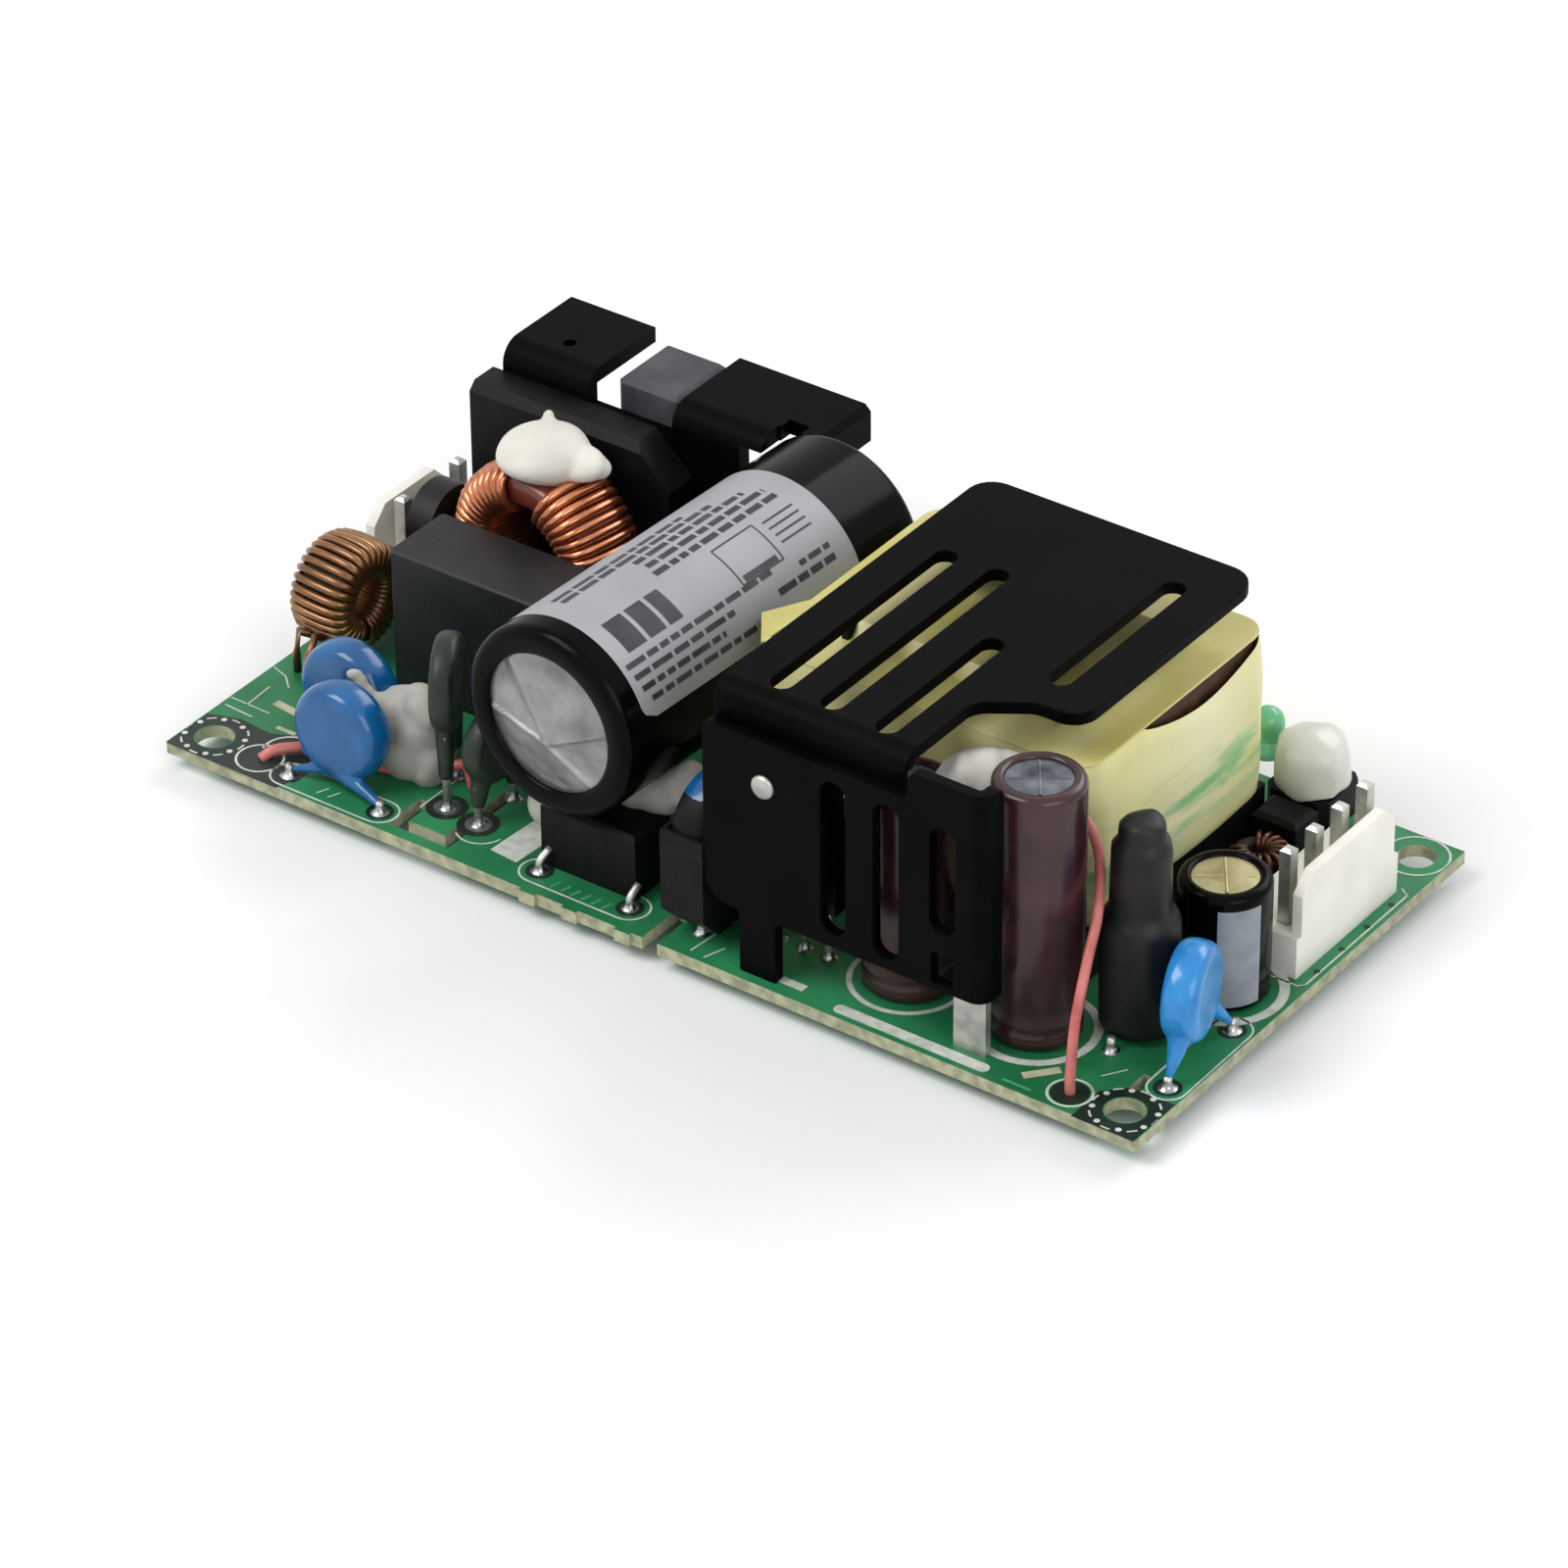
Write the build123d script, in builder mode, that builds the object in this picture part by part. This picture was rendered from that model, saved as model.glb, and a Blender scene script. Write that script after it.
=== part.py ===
from build123d import *
import os
from math import cos, radians, sin

os.makedirs("parts", exist_ok=True)

# Open-frame power supply on one board. Lengths in millimetres.
# The origin is at the centre of the corner holes, on the underside of the board.
# +X runs along the board to the output end, +Y to its rear edge, +Z up.

# Row of parts that sets the length of the board, from header to header
in_header_edge = 0.1
in_header_d = 5.2
bridge_gap = 0.5
bridge_l = 22.0
bulk_gap = 3.78
bulk_r = 9.0
bulk_l = 40.3
bulk_slope = 0.05
bulk_clear = 0.405
trafo_l = 34.0
out_gap = 7.2
out_header_d = 6.8
out_header_edge = 1.6

# Board
board_w = 50.8
board_t = 1.2
corner_hole_d = 3.5
corner_hole_inset = 3.0
slot_w = 1.3
left_slot_at = 19.0
left_slot_y = -22.0
left_slot_l = 4.6
front_slot_at = 21.7
front_slot_y = -23.6
front_slot_l = 6.6
bulk_slot_at = 24.3
bulk_slot_y = -18.8
bulk_slot_l = 8.6
mid_slot_at = 0.6
mid_slot_w = 1.6
mid_slot_l = 5.2
end_slot_at = 11.6
end_slot_y = -18.6
end_slot_w = 1.0
end_slot_l = 2.6
drill_gap = 0.1
pad_w = 1.9
pad_h = 1.5
nib_w = 1.6
nib_h = 0.35
nibs_at = (18.32, 12.72, 8.22)
mould_edge = 0.4

# Sides of the many-sided faces that stand in for small or covered round ones
disc_sides = 32
core_sides = 30
can_sides = 24
small_sides = 12

# Clearances between pieces
fit = 0.05
soft_gap = 0.1

# Common leads and sheet
lead_d = 0.8
thin_lead_d = 0.5
sheet_t = 1.5
bend_r = 0.6

# Pin headers
pin_w = 1.14
pin_pitch = 3.96
pin_top = 11.4
header_wall_h = 9.6
header_base_h = 4.0
header_wall_t = 0.95
header_corner = 1.7
header_side = 0.7

in_header_y = 8.25
in_pin_in = 3.35
out_header_y = 9.0
out_pin_in = 2.3
out_pin_count = 4

# Sleeved fuse at the input
fuse_at = 1.6
fuse_y = 5.5
fuse_t = 2.6
fuse_w = 7.4
fuse_top = 13.3
fuse_foot = 1.6
fuse_pitch = 5.0

# First inductor, a wound ring standing with its axis along X
ring_at = -1.8
ring_y = -4.0
ring_z = 5.9
ring_core_r = 4.5
ring_core_bore = 2.6
ring_core_t = 4.8
ring_wire_d = 0.75
ring_turns = 20
ring_tail_at = -1.0
ring_tail_near = 2.0

# Line capacitor
line_cap_l = 18.0
line_cap_w = 7.7
line_cap_h = 14.0
line_cap_at = 14.2
line_cap_y = -2.85
line_cap_pitch = 15.0

# Common-mode choke, standing with its axis nearly along Y
choke_at = 13.0
choke_y = 6.15
choke_z = 10.4
choke_turn = 83.0
choke_core_r = 8.2
choke_core_bore = 5.2
choke_core_t = 6.2
choke_wire_d = 0.95
choke_turns = 16
choke_span = 150.0
choke_lead_x = 5.6
choke_lead_y = 2.4
lump_w = 8.6
lump_top = 21.4
lump_front = 5.0

# Bridge rectifier
bridge_t = 3.5
bridge_front = 11.3
bridge_foot = 2.4
bridge_top = 20.5
bridge_corner = 3.8
bridge_edge = 0.8
bridge_lead_w = 1.1
bridge_pitch = 5.08

# Rear heatsink, a sheet bent back over the rear edge
rear_sink_left_at = 1.6
rear_sink_plate_right_at = 27.6
rear_sink_right_at = 8.22
rear_sink_top = 23.2
rear_sink_step_y = 17.6
rear_sink_overhang = 7.4
rear_sink_foot_gap = 1.6
rear_notch_left_at = 11.0
rear_notch_right_at = 20.3
rear_notch_low = 19.9
rear_lip_at = 3.62
rear_slot_at = 4.9
rear_slot_w = 2.2
rear_slot_l = 1.4
rear_drop = 3.6
rear_hole_at = 6.4
rear_hole_y = 18.4
rear_hole_d = 1.2
foot_w = 3.0
foot_in = 2.6

# Power transistor in its rubber cap, behind the rear heatsink
cap_at = 16.7
cap_w = 7.0
cap_d = 7.4
cap_top = 23.2
cap_foot = 3.2
cap_wall = 0.6
transistor_w = 5.7
transistor_t = 4.6
transistor_foot = 4.4
transistor_pitch = 2.29

# Bulk capacitor, lying across the board
bulk_z = 16.0
bulk_far_gap = 0.6
bulk_sleeve_t = 0.3
bulk_fold_r = 6.6
bulk_pitch = 7.5
bulk_lead_out = 2.2
bulk_score_w = 0.35
bulk_score_l = 5.6

# Small parts under and beside the bulk capacitor
film_l = 10.0
film_w = 5.0
film_h = 6.3
film_at = 11.62
film_y = -18.9
film_pitch = 7.5
bulk_lump_at = 4.22
bulk_lump_y = -18.6
bulk_lump_l = 4.4
bulk_lump_w = 6.0
bulk_lump_h = 9.0

# Disc parts: blue capacitors and thermistors
disc_r = 5.0
disc_t = 4.3
disc_a_at = 11.6
disc_a_y = -21.3
disc_b_at = 8.3
disc_b_y = -15.6
disc_z = 6.5
disc_pitch = 9.0

therm_a_at = 19.9
therm_a_y = -17.2
therm_a_z = 11.4
therm_a_r = 4.4
therm_a_t = 2.3
therm_a_turn = 29.0
therm_a_pitch = 5.0
therm_b_at = 24.9
therm_b_y = -17.4
therm_b_z = 7.0
therm_b_r = 3.6
therm_b_t = 2.2
therm_b_turn = 0.0
therm_b_pitch = 5.0

disc_c_at = 3.5
disc_c_y = -19.4
disc_c_z = 10.0
disc_c_r = 4.9
disc_c_t = 3.6
disc_c_pitch = 5.0
shrink_t = 0.35
shrink_top = 11.2
shrink_foot = 1.0

disc_d_at = 12.8
disc_d_y = -12.5
disc_d_z = 6.6
disc_d_r = 4.0
disc_d_t = 3.4
disc_d_turn = -17.0
disc_d_pitch = 7.4

left_lump_at = 15.9
left_lump_y = -14.5
left_lump_l = 4.4
left_lump_w = 5.0
left_lump_h = 6.2

# Transformer
trafo_y = 4.2
trafo_w = 27.4
trafo_foot = 5.2
trafo_core_top = 20.9
trafo_tape_t = 0.4
trafo_corner = 1.6
trafo_leg = 4.4
trafo_yoke = 5.2
trafo_post = 9.0
trafo_gap = 0.15
bobbin_t = 0.6
wound_t = 0.8
trafo_pin_in = 2.1
trafo_pin_d = 0.9
trafo_pin_pitch = 5.0
trafo_pin_count = 5

# Front and top heatsinks
front_face_y = -24.5
front_left_at = 5.7
front_step_at = -7.7
front_right_at = 0.0
front_left_top = 23.7
front_right_top = 26.5
front_low = 6.1
front_corner_r = 2.5
front_leg_left_at = 9.3
front_leg_right_at = 13.0
front_flange_d = 2.4
front_slot_w = 2.6
front_slots_at = (0.466, 0.654, 0.852)
front_slot_lows = (7.4, 7.1, 11.8)
front_slot_tops = (22.5, 22.4, 22.2)
front_window_w = 2.2
front_window_low = 6.0
front_window_top = 9.8
top_plate_z = 25.2
top_left_at = 5.8
top_right_at = -0.2
top_back = 16.4
top_cut_at = -8.9
top_cut_y = -13.2
top_cut_in_at = -4.7
top_cut_in_y = -10.4
top_flange_right_at = 16.2
top_flange_low = 9.0
top_slots_at = (0.168, 0.354, 0.557, 0.825)
top_slots_near = (-20.8, -20.9, -21.2, -7.2)
top_slots_far = (4.7, 4.8, -4.3, 11.6)
top_slot_w = 2.6
sink_foot_w = 3.2
sink_foot_at = -2.4
rivet_at = 11.9
rivet_z = 19.4
rivet_d = 2.2
rivet_head_d = 3.0
rivet_head_h = 0.4

# Output rectifier behind the front heatsink
rect_w = 10.2
rect_tab_t = 1.3
rect_body_t = 4.5
rect_body_h = 9.2
rect_tab_top = 2.9
rect_h = 15.6
rect_pitch = 2.54
rect_lead_back = 2.7

# Output capacitors
tall_r = 4.0
tall_h = 25.0
tall_a_at = 0.1
tall_a_y = -16.9
tall_b_at = -12.4
tall_b_y = -17.4
tall_b_h = 20.0
tall_pitch = 3.5
sleeve_t = 0.3
fold_in = 0.8
small_at = 9.6
small_y = -3.3
small_h = 11.5
vent_w = 0.25
out_lump_h = 6.0
out_lump_low = 17.4
out_lump_w = 4.4

# Rod inductor
rod_at = 7.0
rod_y = -12.0
rod_foot = 0.6
rod_low_r = 3.45
rod_low_h = 11.0
rod_mid_r = 2.6
rod_tip_r = 1.95
rod_neck_h = 18.5
rod_h = 20.7
rod_lead_y = -16.1

# Small parts at the rear of the output end
trimmer_at = 2.5
trimmer_y = 21.6
trimmer_w = 6.2
trimmer_foot = 1.0
trimmer_h = 4.4
sealant_r = 3.1
sealant_top = 10.4
lamp_at = -3.2
lamp_y = 23.2
lamp_r = 1.5
lamp_foot = 4.4
lamp_pitch = 2.54
lamp_h = 4.4
lamp_rim_r = 1.8
lamp_rim_h = 0.8
coupler_at = 3.0
coupler_y = 16.3
coupler_l = 4.6
coupler_w = 3.6
coupler_h = 3.6
coupler_foot = 0.9
coupler_pitch = 2.54
bead_at = 3.6
bead_y = 11.4
bead_r = 2.4
bead_bore = 1.1
bead_t = 2.4
bead_wire_d = 0.6
bead_turns = 9
bead_span = 300.0
bead_foot = 0.3

# Sleeved wires
jumper_d = 1.1
jumper_bow = 1.2
jumper_rise = 0.8
jumper_past = 2.0
jumper_start_at = 3.1
jumper_start_y = -22.6
jumper_end_at = 21.5
jumper_end_y = -16.2
out_wire_d = 1.3
out_wire_at = 7.6
out_wire_y = -23.0
# Route of the output wire after its foot: distance past the transformer, y, height
out_wire_route = (
    (7.6, -23.0, 2.2),
    (7.0, -21.6, 6.6),
    (6.4, -18.6, 11.0),
    (5.4, -15.8, 13.2),
    (2.9, -12.3, 16.2),
    (0.4, -11.2, 17.8),
    (-1.8, -11.2, 18.2),
)

# Underside parts
chip_l = 5.0
chip_w = 4.0
chip_h = 1.2
chip_at = 5.22
chip_y = 4.0
chip_lead_w = 0.45
chip_lead_out = 1.0
chip_lead_t = 0.25
chip_pitch = 1.27
chip_gap = 0.15
resistors_at = 14.22
resistors_y = -2.0
resistor_l = 3.2
resistor_w = 1.6
resistor_h = 0.6
resistor_gap = 1.5

# Sides that the groups of parts are measured from
input_row_l = in_header_edge + in_header_d + bridge_gap + bridge_l + bulk_gap
output_row_l = trafo_l + out_gap + out_header_d + out_header_edge
board_l = input_row_l + 2 * bulk_r + bulk_slope * bulk_l + bulk_clear + output_row_l
in_side = -board_l / 2 + in_header_edge + in_header_d
bulk_side = -board_l / 2 + input_row_l
out_side = board_l / 2 - out_header_edge - out_header_d - out_gap
trafo_side = out_side - trafo_l

# Places along the board
bridge_x = in_side + bridge_gap + bridge_l / 2
bulk_near_x = bulk_side + bulk_r
bulk_near_y = rear_sink_step_y - bulk_far_gap - bulk_l
trafo_x = trafo_side + trafo_l / 2
rear_sink_back = rear_sink_step_y + rear_sink_overhang
fuse_x = in_side + fuse_at
ring_x = in_side + ring_at
ring_tail_x = in_side + ring_tail_at
line_cap_x = in_side + line_cap_at
choke_x = in_side + choke_at
rear_sink_left = in_side + rear_sink_left_at
rear_sink_plate_right = in_side + rear_sink_plate_right_at
rear_notch_left = in_side + rear_notch_left_at
rear_notch_right = in_side + rear_notch_right_at
rear_hole_x = in_side + rear_hole_at
cap_x = in_side + cap_at
disc_a_x = in_side + disc_a_at
disc_b_x = in_side + disc_b_at
therm_a_x = in_side + therm_a_at
therm_b_x = in_side + therm_b_at
left_lump_x = in_side + left_lump_at
jumper_start_x = in_side + jumper_start_at
jumper_end_x = in_side + jumper_end_at
rear_sink_right = bulk_side + rear_sink_right_at
rear_lip_x = bulk_side + rear_lip_at
rear_slot_x = bulk_side + rear_slot_at
film_x = bulk_side + film_at
bulk_lump_x = bulk_side + bulk_lump_at
chip_x = bulk_side + chip_at
resistors_x = bulk_side + resistors_at
front_left = trafo_side + front_left_at
front_leg_left = trafo_side + front_leg_left_at
front_leg_right = trafo_side + front_leg_right_at
top_left = trafo_side + top_left_at
top_flange_right = trafo_side + top_flange_right_at
rivet_x = trafo_side + rivet_at
disc_c_x = trafo_side + disc_c_at
front_step_x = out_side + front_step_at
front_right = out_side + front_right_at
top_right = out_side + top_right_at
top_cut_x = out_side + top_cut_at
top_cut_in_x = out_side + top_cut_in_at
sink_foot_x = out_side + sink_foot_at
tall_a_x = out_side + tall_a_at
tall_b_x = out_side + tall_b_at
small_x = out_side + small_at
disc_d_x = out_side + disc_d_at
rod_x = out_side + rod_at
trimmer_x = out_side + trimmer_at
lamp_x = out_side + lamp_at
coupler_x = out_side + coupler_at
bead_x = out_side + bead_at
out_wire_x = out_side + out_wire_at
front_slots_x = [front_left + at * (front_right - front_left) for at in front_slots_at]
top_slots_x = [top_left + at * (top_right - top_left) for at in top_slots_at]

stand = (Align.CENTER, Align.CENTER, Align.MIN)
hang = (Align.CENTER, Align.CENTER, Align.MAX)

# Every lead that goes through the board: x, y, height of its top above the board, diameter.
leads = []
# Ends of wires and tails that are soldered at the board: x, y, width.
drillings = []
# Pins that pass through the board: x, y, width.
pin_holes = []
# Slots for flat feet: x, y, length, width.
foot_slots = []


def save(piece, name):
    """Label a finished piece and write it."""
    piece.part.label = name
    export_step(piece.part, "parts/" + name + ".step")


def deck(height):
    """The plane that lies this far above the board."""
    return Plane.XY.offset(board_t + height)


def upright(x, y, z, turn):
    """A vertical plane through a point above the board, its normal turned from +X by an angle."""
    a = radians(turn)
    return Plane(origin=(x, y, board_t + z), x_dir=(-sin(a), cos(a), 0), z_dir=(cos(a), sin(a), 0))


def along(x, y, turn, step):
    """The point at a signed distance from another, along the horizontal of an upright plane."""
    a = radians(turn)
    return x - step * sin(a), y + step * cos(a)


def wire(points, wide):
    """A six-sided wire along straight runs with mitred bends."""
    with BuildLine() as route:
        Polyline(*points)
    first = Vector(*points[0])
    with BuildSketch(Plane(origin=first, z_dir=Vector(*points[1]) - first)) as section:
        RegularPolygon(wide / 2, 6)
    sweep(sections=section.sketch, path=route.line, transition=Transition.RIGHT)


def slot_outline(wide, long):
    """An upright slot with eight-sided ends."""
    with BuildSketch() as slot:
        Rectangle(wide, long)
        chamfer(slot.vertices(), 0.29 * wide)
    return slot.sketch


def lead_pair(x, y, turn, pitch, top, wide=lead_d):
    """Two leads set apart along the horizontal of an upright plane."""
    for side in (-1, 1):
        px, py = along(x, y, turn, side * pitch / 2)
        leads.append((px, py, top, wide))


def disc_leads(x, y, z, turn, radius, pitch):
    """Two leads that end where they meet the rim of a disc on edge."""
    inner = pitch / 2 - lead_d / 2 ** 0.5
    lead_pair(x, y, turn, pitch, z - (radius ** 2 - inner ** 2) ** 0.5 - fit)


def header_housing(face, inward, mid, depth, base_w, pin_ys, pin_x):
    """A header: base block, raised wall at its outer face and a square hole for each pin place."""
    front = Plane(origin=(face, mid, board_t), x_dir=(0, inward, 0), z_dir=(inward, 0, 0))
    with BuildPart() as housing:
        with BuildSketch(front):
            Rectangle(base_w, header_base_h, align=(Align.CENTER, Align.MIN))
        extrude(amount=depth)
        with BuildSketch(front) as wall:
            Rectangle(base_w - 2 * header_side, header_wall_h, align=(Align.CENTER, Align.MIN))
            chamfer(wall.vertices().group_by(Axis.Y)[-1], header_corner)
        extrude(amount=header_wall_t)
        with Locations(*[(pin_x, y, board_t) for y in pin_ys]):
            Box(pin_w + 2 * fit, pin_w + 2 * fit, header_base_h, align=stand, mode=Mode.SUBTRACT)
    return housing


def header_pins(pin_x, pin_ys):
    """Square posts that go through the housing and the board."""
    with BuildPart() as pins:
        with Locations(*[(pin_x, y, 0) for y in pin_ys]):
            Box(pin_w, pin_w, board_t + pin_top, align=stand)
        chamfer(pins.faces().group_by(Axis.Z)[-1].edges(), pin_w / 4)
    for y in pin_ys:
        drillings.append((pin_x, y, pin_w))
        pin_holes.append((pin_x, y, pin_w))
    return pins


def ring_core(place, outer, bore, thick):
    """A plain ring, centred on a plane."""
    with BuildPart() as core:
        with BuildSketch(place):
            RegularPolygon(outer, core_sides)
            RegularPolygon(bore, core_sides, major_radius=False, mode=Mode.SUBTRACT)
        extrude(amount=thick / 2, both=True)
    return core


def ring_winding(place, outer, bore, thick, wide, arcs):
    """Turns of wire wound round a ring core; arcs holds the turns, start and span of each coil."""
    with BuildPart() as turn:
        with BuildSketch(Plane.XZ):
            Rectangle(outer - bore + 2 * wide, thick + 2 * wide)
            with Locations((-fit / 2, 0)):
                Rectangle(outer - bore + 3 * fit, thick + 2 * fit, mode=Mode.SUBTRACT)
        extrude(amount=wide / 2, both=True)
    with BuildPart(place) as coil:
        for count, start, span in arcs:
            with PolarLocations((outer + bore) / 2, count, start_angle=start, angular_range=span):
                add(turn.part)
    return coil


def disc_body(x, y, z, turn, radius, thick):
    """A coated disc on edge."""
    with BuildPart() as disc:
        with BuildSketch(upright(x, y, z, turn)):
            RegularPolygon(radius, disc_sides)
        extrude(amount=thick / 2, both=True)
    return disc


def capacitor(x, y, height, radius):
    """An upright can in its sleeve, folded in over the rim; the top is scored with a cross."""
    top_r = radius - sleeve_t - fold_in
    with BuildPart() as can:
        with BuildSketch(deck(0)):
            with Locations((x, y)):
                RegularPolygon(radius, disc_sides)
        extrude(amount=height)
        with BuildSketch(deck(height)):
            with Locations((x, y)):
                RegularPolygon(top_r, can_sides)
        extrude(amount=-sleeve_t, mode=Mode.SUBTRACT)
        with Locations((x, y, board_t + height - sleeve_t)):
            Box(1.6 * top_r, vent_w, vent_w, align=hang, mode=Mode.SUBTRACT)
            Box(vent_w, 1.6 * top_r, vent_w, align=hang, mode=Mode.SUBTRACT)
    return can


def lump(x, y, z, length, width, height):
    """A lump of set sealant: an eight-sided mound with sloping shoulders."""
    with BuildPart() as mound:
        with BuildSketch(deck(z)) as foot:
            with Locations((x, y)):
                Rectangle(length, width)
            chamfer(foot.vertices(), 0.28 * min(length, width))
        extrude(amount=height)
        chamfer(mound.faces().sort_by(Axis.Z)[-1].edges(), 0.22 * min(length, width, height))
    return mound


# Input header
in_face = -board_l / 2 + in_header_edge
in_pin_x = in_face + in_pin_in
in_places = [in_header_y + step * pin_pitch for step in (-1, 0, 1)]
input_header_housing = header_housing(
    in_face, 1, in_header_y, in_header_d, 3 * pin_pitch, in_places, in_pin_x
)
save(input_header_housing, "input_header_housing")
input_header_pins = header_pins(in_pin_x, [in_places[0], in_places[2]])
save(input_header_pins, "input_header_pins")

# Output header
out_face = board_l / 2 - out_header_edge
out_pin_x = out_face - out_pin_in
out_places = [out_header_y + (n - (out_pin_count - 1) / 2) * pin_pitch for n in range(out_pin_count)]
output_header_housing = header_housing(
    out_face, -1, out_header_y, out_header_d, out_pin_count * pin_pitch, out_places, out_pin_x
)
save(output_header_housing, "output_header_housing")
output_header_pins = header_pins(out_pin_x, out_places)
save(output_header_pins, "output_header_pins")

# Sleeved fuse: a flat body with a round top
with BuildPart() as input_fuse:
    with BuildSketch(upright(fuse_x, fuse_y, 0, 0)) as outline:
        with Locations((0, fuse_top - fuse_w / 2)):
            Circle(fuse_w / 2)
        with Locations((0, fuse_foot)):
            Rectangle(fuse_w, fuse_top - fuse_w / 2 - fuse_foot, align=(Align.CENTER, Align.MIN))
        chamfer(outline.vertices().group_by(Axis.Y)[0], fuse_w / 6)
    extrude(amount=fuse_t / 2, both=True)
save(input_fuse, "input_fuse")
lead_pair(fuse_x, fuse_y, 0, fuse_pitch, fuse_foot)

# First inductor
ring_place = upright(ring_x, ring_y, ring_z, 0)
input_inductor_core = ring_core(ring_place, ring_core_r, ring_core_bore, ring_core_t)
save(input_inductor_core, "input_inductor_core")
ring_coil = ring_winding(
    ring_place, ring_core_r, ring_core_bore, ring_core_t, ring_wire_d, [(ring_turns, 0, 360)]
)
ring_out = ring_core_r + ring_wire_d
with BuildPart() as input_inductor_winding:
    add(ring_coil.part)
    for tail_x, tail_y in (
        (ring_tail_x, ring_y - ring_out - ring_tail_near),
        (ring_x - ring_core_t / 4, ring_y - ring_out - ring_wire_d),
    ):
        wire(
            [
                (tail_x, ring_y - ring_core_r - ring_wire_d / 2, board_t + ring_z),
                (tail_x, tail_y, board_t + ring_z / 2),
                (tail_x, tail_y, board_t),
            ],
            ring_wire_d,
        )
        drillings.append((tail_x, tail_y, ring_wire_d))
save(input_inductor_winding, "input_inductor_winding")

# Line capacitor: a moulded box
with BuildPart() as line_capacitor:
    with BuildSketch(deck(0)) as outline:
        with Locations((line_cap_x, line_cap_y)):
            Rectangle(line_cap_l, line_cap_w)
        chamfer(outline.vertices(), mould_edge)
    extrude(amount=line_cap_h)
    chamfer(line_capacitor.faces().sort_by(Axis.Z)[-1].edges(), mould_edge / 2)
save(line_capacitor, "line_capacitor")
lead_pair(line_cap_x, line_cap_y, 90, line_cap_pitch, 0)

# Common-mode choke
choke_place = upright(choke_x, choke_y, choke_z, choke_turn)
choke_core = ring_core(choke_place, choke_core_r, choke_core_bore, choke_core_t)
save(choke_core, "choke_core")
choke_start = choke_span / choke_turns / 2 - choke_span / 2
choke_coils = [(choke_turns, choke_start, choke_span), (choke_turns, 180 + choke_start, choke_span)]
choke_winding = ring_winding(
    choke_place, choke_core_r, choke_core_bore, choke_core_t, choke_wire_d, choke_coils
)
with BuildPart() as choke_windings:
    add(choke_winding.part)
    mid_r = choke_core_r + choke_wire_d / 2
    choke_lead_h = choke_z - (mid_r ** 2 - choke_lead_x ** 2) ** 0.5
    for side in (-1, 1):
        for depth in (-1, 1):
            px, py = along(choke_x, choke_y, choke_turn, side * choke_lead_x)
            px += depth * choke_lead_y * cos(radians(choke_turn))
            py += depth * choke_lead_y * sin(radians(choke_turn))
            drillings.append((px, py, choke_wire_d))
            with Locations((px, py, board_t)):
                Box(choke_wire_d, choke_wire_d, choke_lead_h, align=stand)
save(choke_windings, "choke_windings")

# Sealant over the gap between the choke's windings, seated on its core
lump_seat = choke_z + choke_core_r
with BuildPart() as choke_sealant:
    add(lump(choke_x, bridge_front - lump_front - soft_gap, lump_seat - 1.0, lump_w, 2 * lump_front,
             lump_top - lump_seat + 1.0).part)
    add(ring_core(choke_place, choke_core_r + choke_wire_d + soft_gap, choke_core_bore,
                  choke_core_t + 2 * choke_wire_d + 2 * soft_gap).part, mode=Mode.SUBTRACT)
save(choke_sealant, "choke_sealant")

# Bridge rectifier: a flat body with one cut corner
bridge_y = bridge_front + bridge_t / 2
with BuildPart() as bridge_rectifier:
    with BuildSketch(Plane(origin=(bridge_x, bridge_front, board_t), x_dir=(1, 0, 0),
                           z_dir=(0, -1, 0))) as outline:
        with Locations((0, bridge_foot)):
            Rectangle(bridge_l, bridge_top - bridge_foot, align=(Align.CENTER, Align.MIN))
        chamfer(outline.vertices().group_by(Axis.Y)[-1].sort_by(Axis.X)[-1], bridge_corner)
    extrude(amount=-bridge_t)
    chamfer(bridge_rectifier.faces().sort_by(Axis.Y)[0].edges().group_by(Axis.Z)[-1], bridge_edge)
save(bridge_rectifier, "bridge_rectifier")
for n in range(4):
    leads.append((bridge_x + (n - 1.5) * bridge_pitch, bridge_y, bridge_foot, bridge_lead_w))

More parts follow.
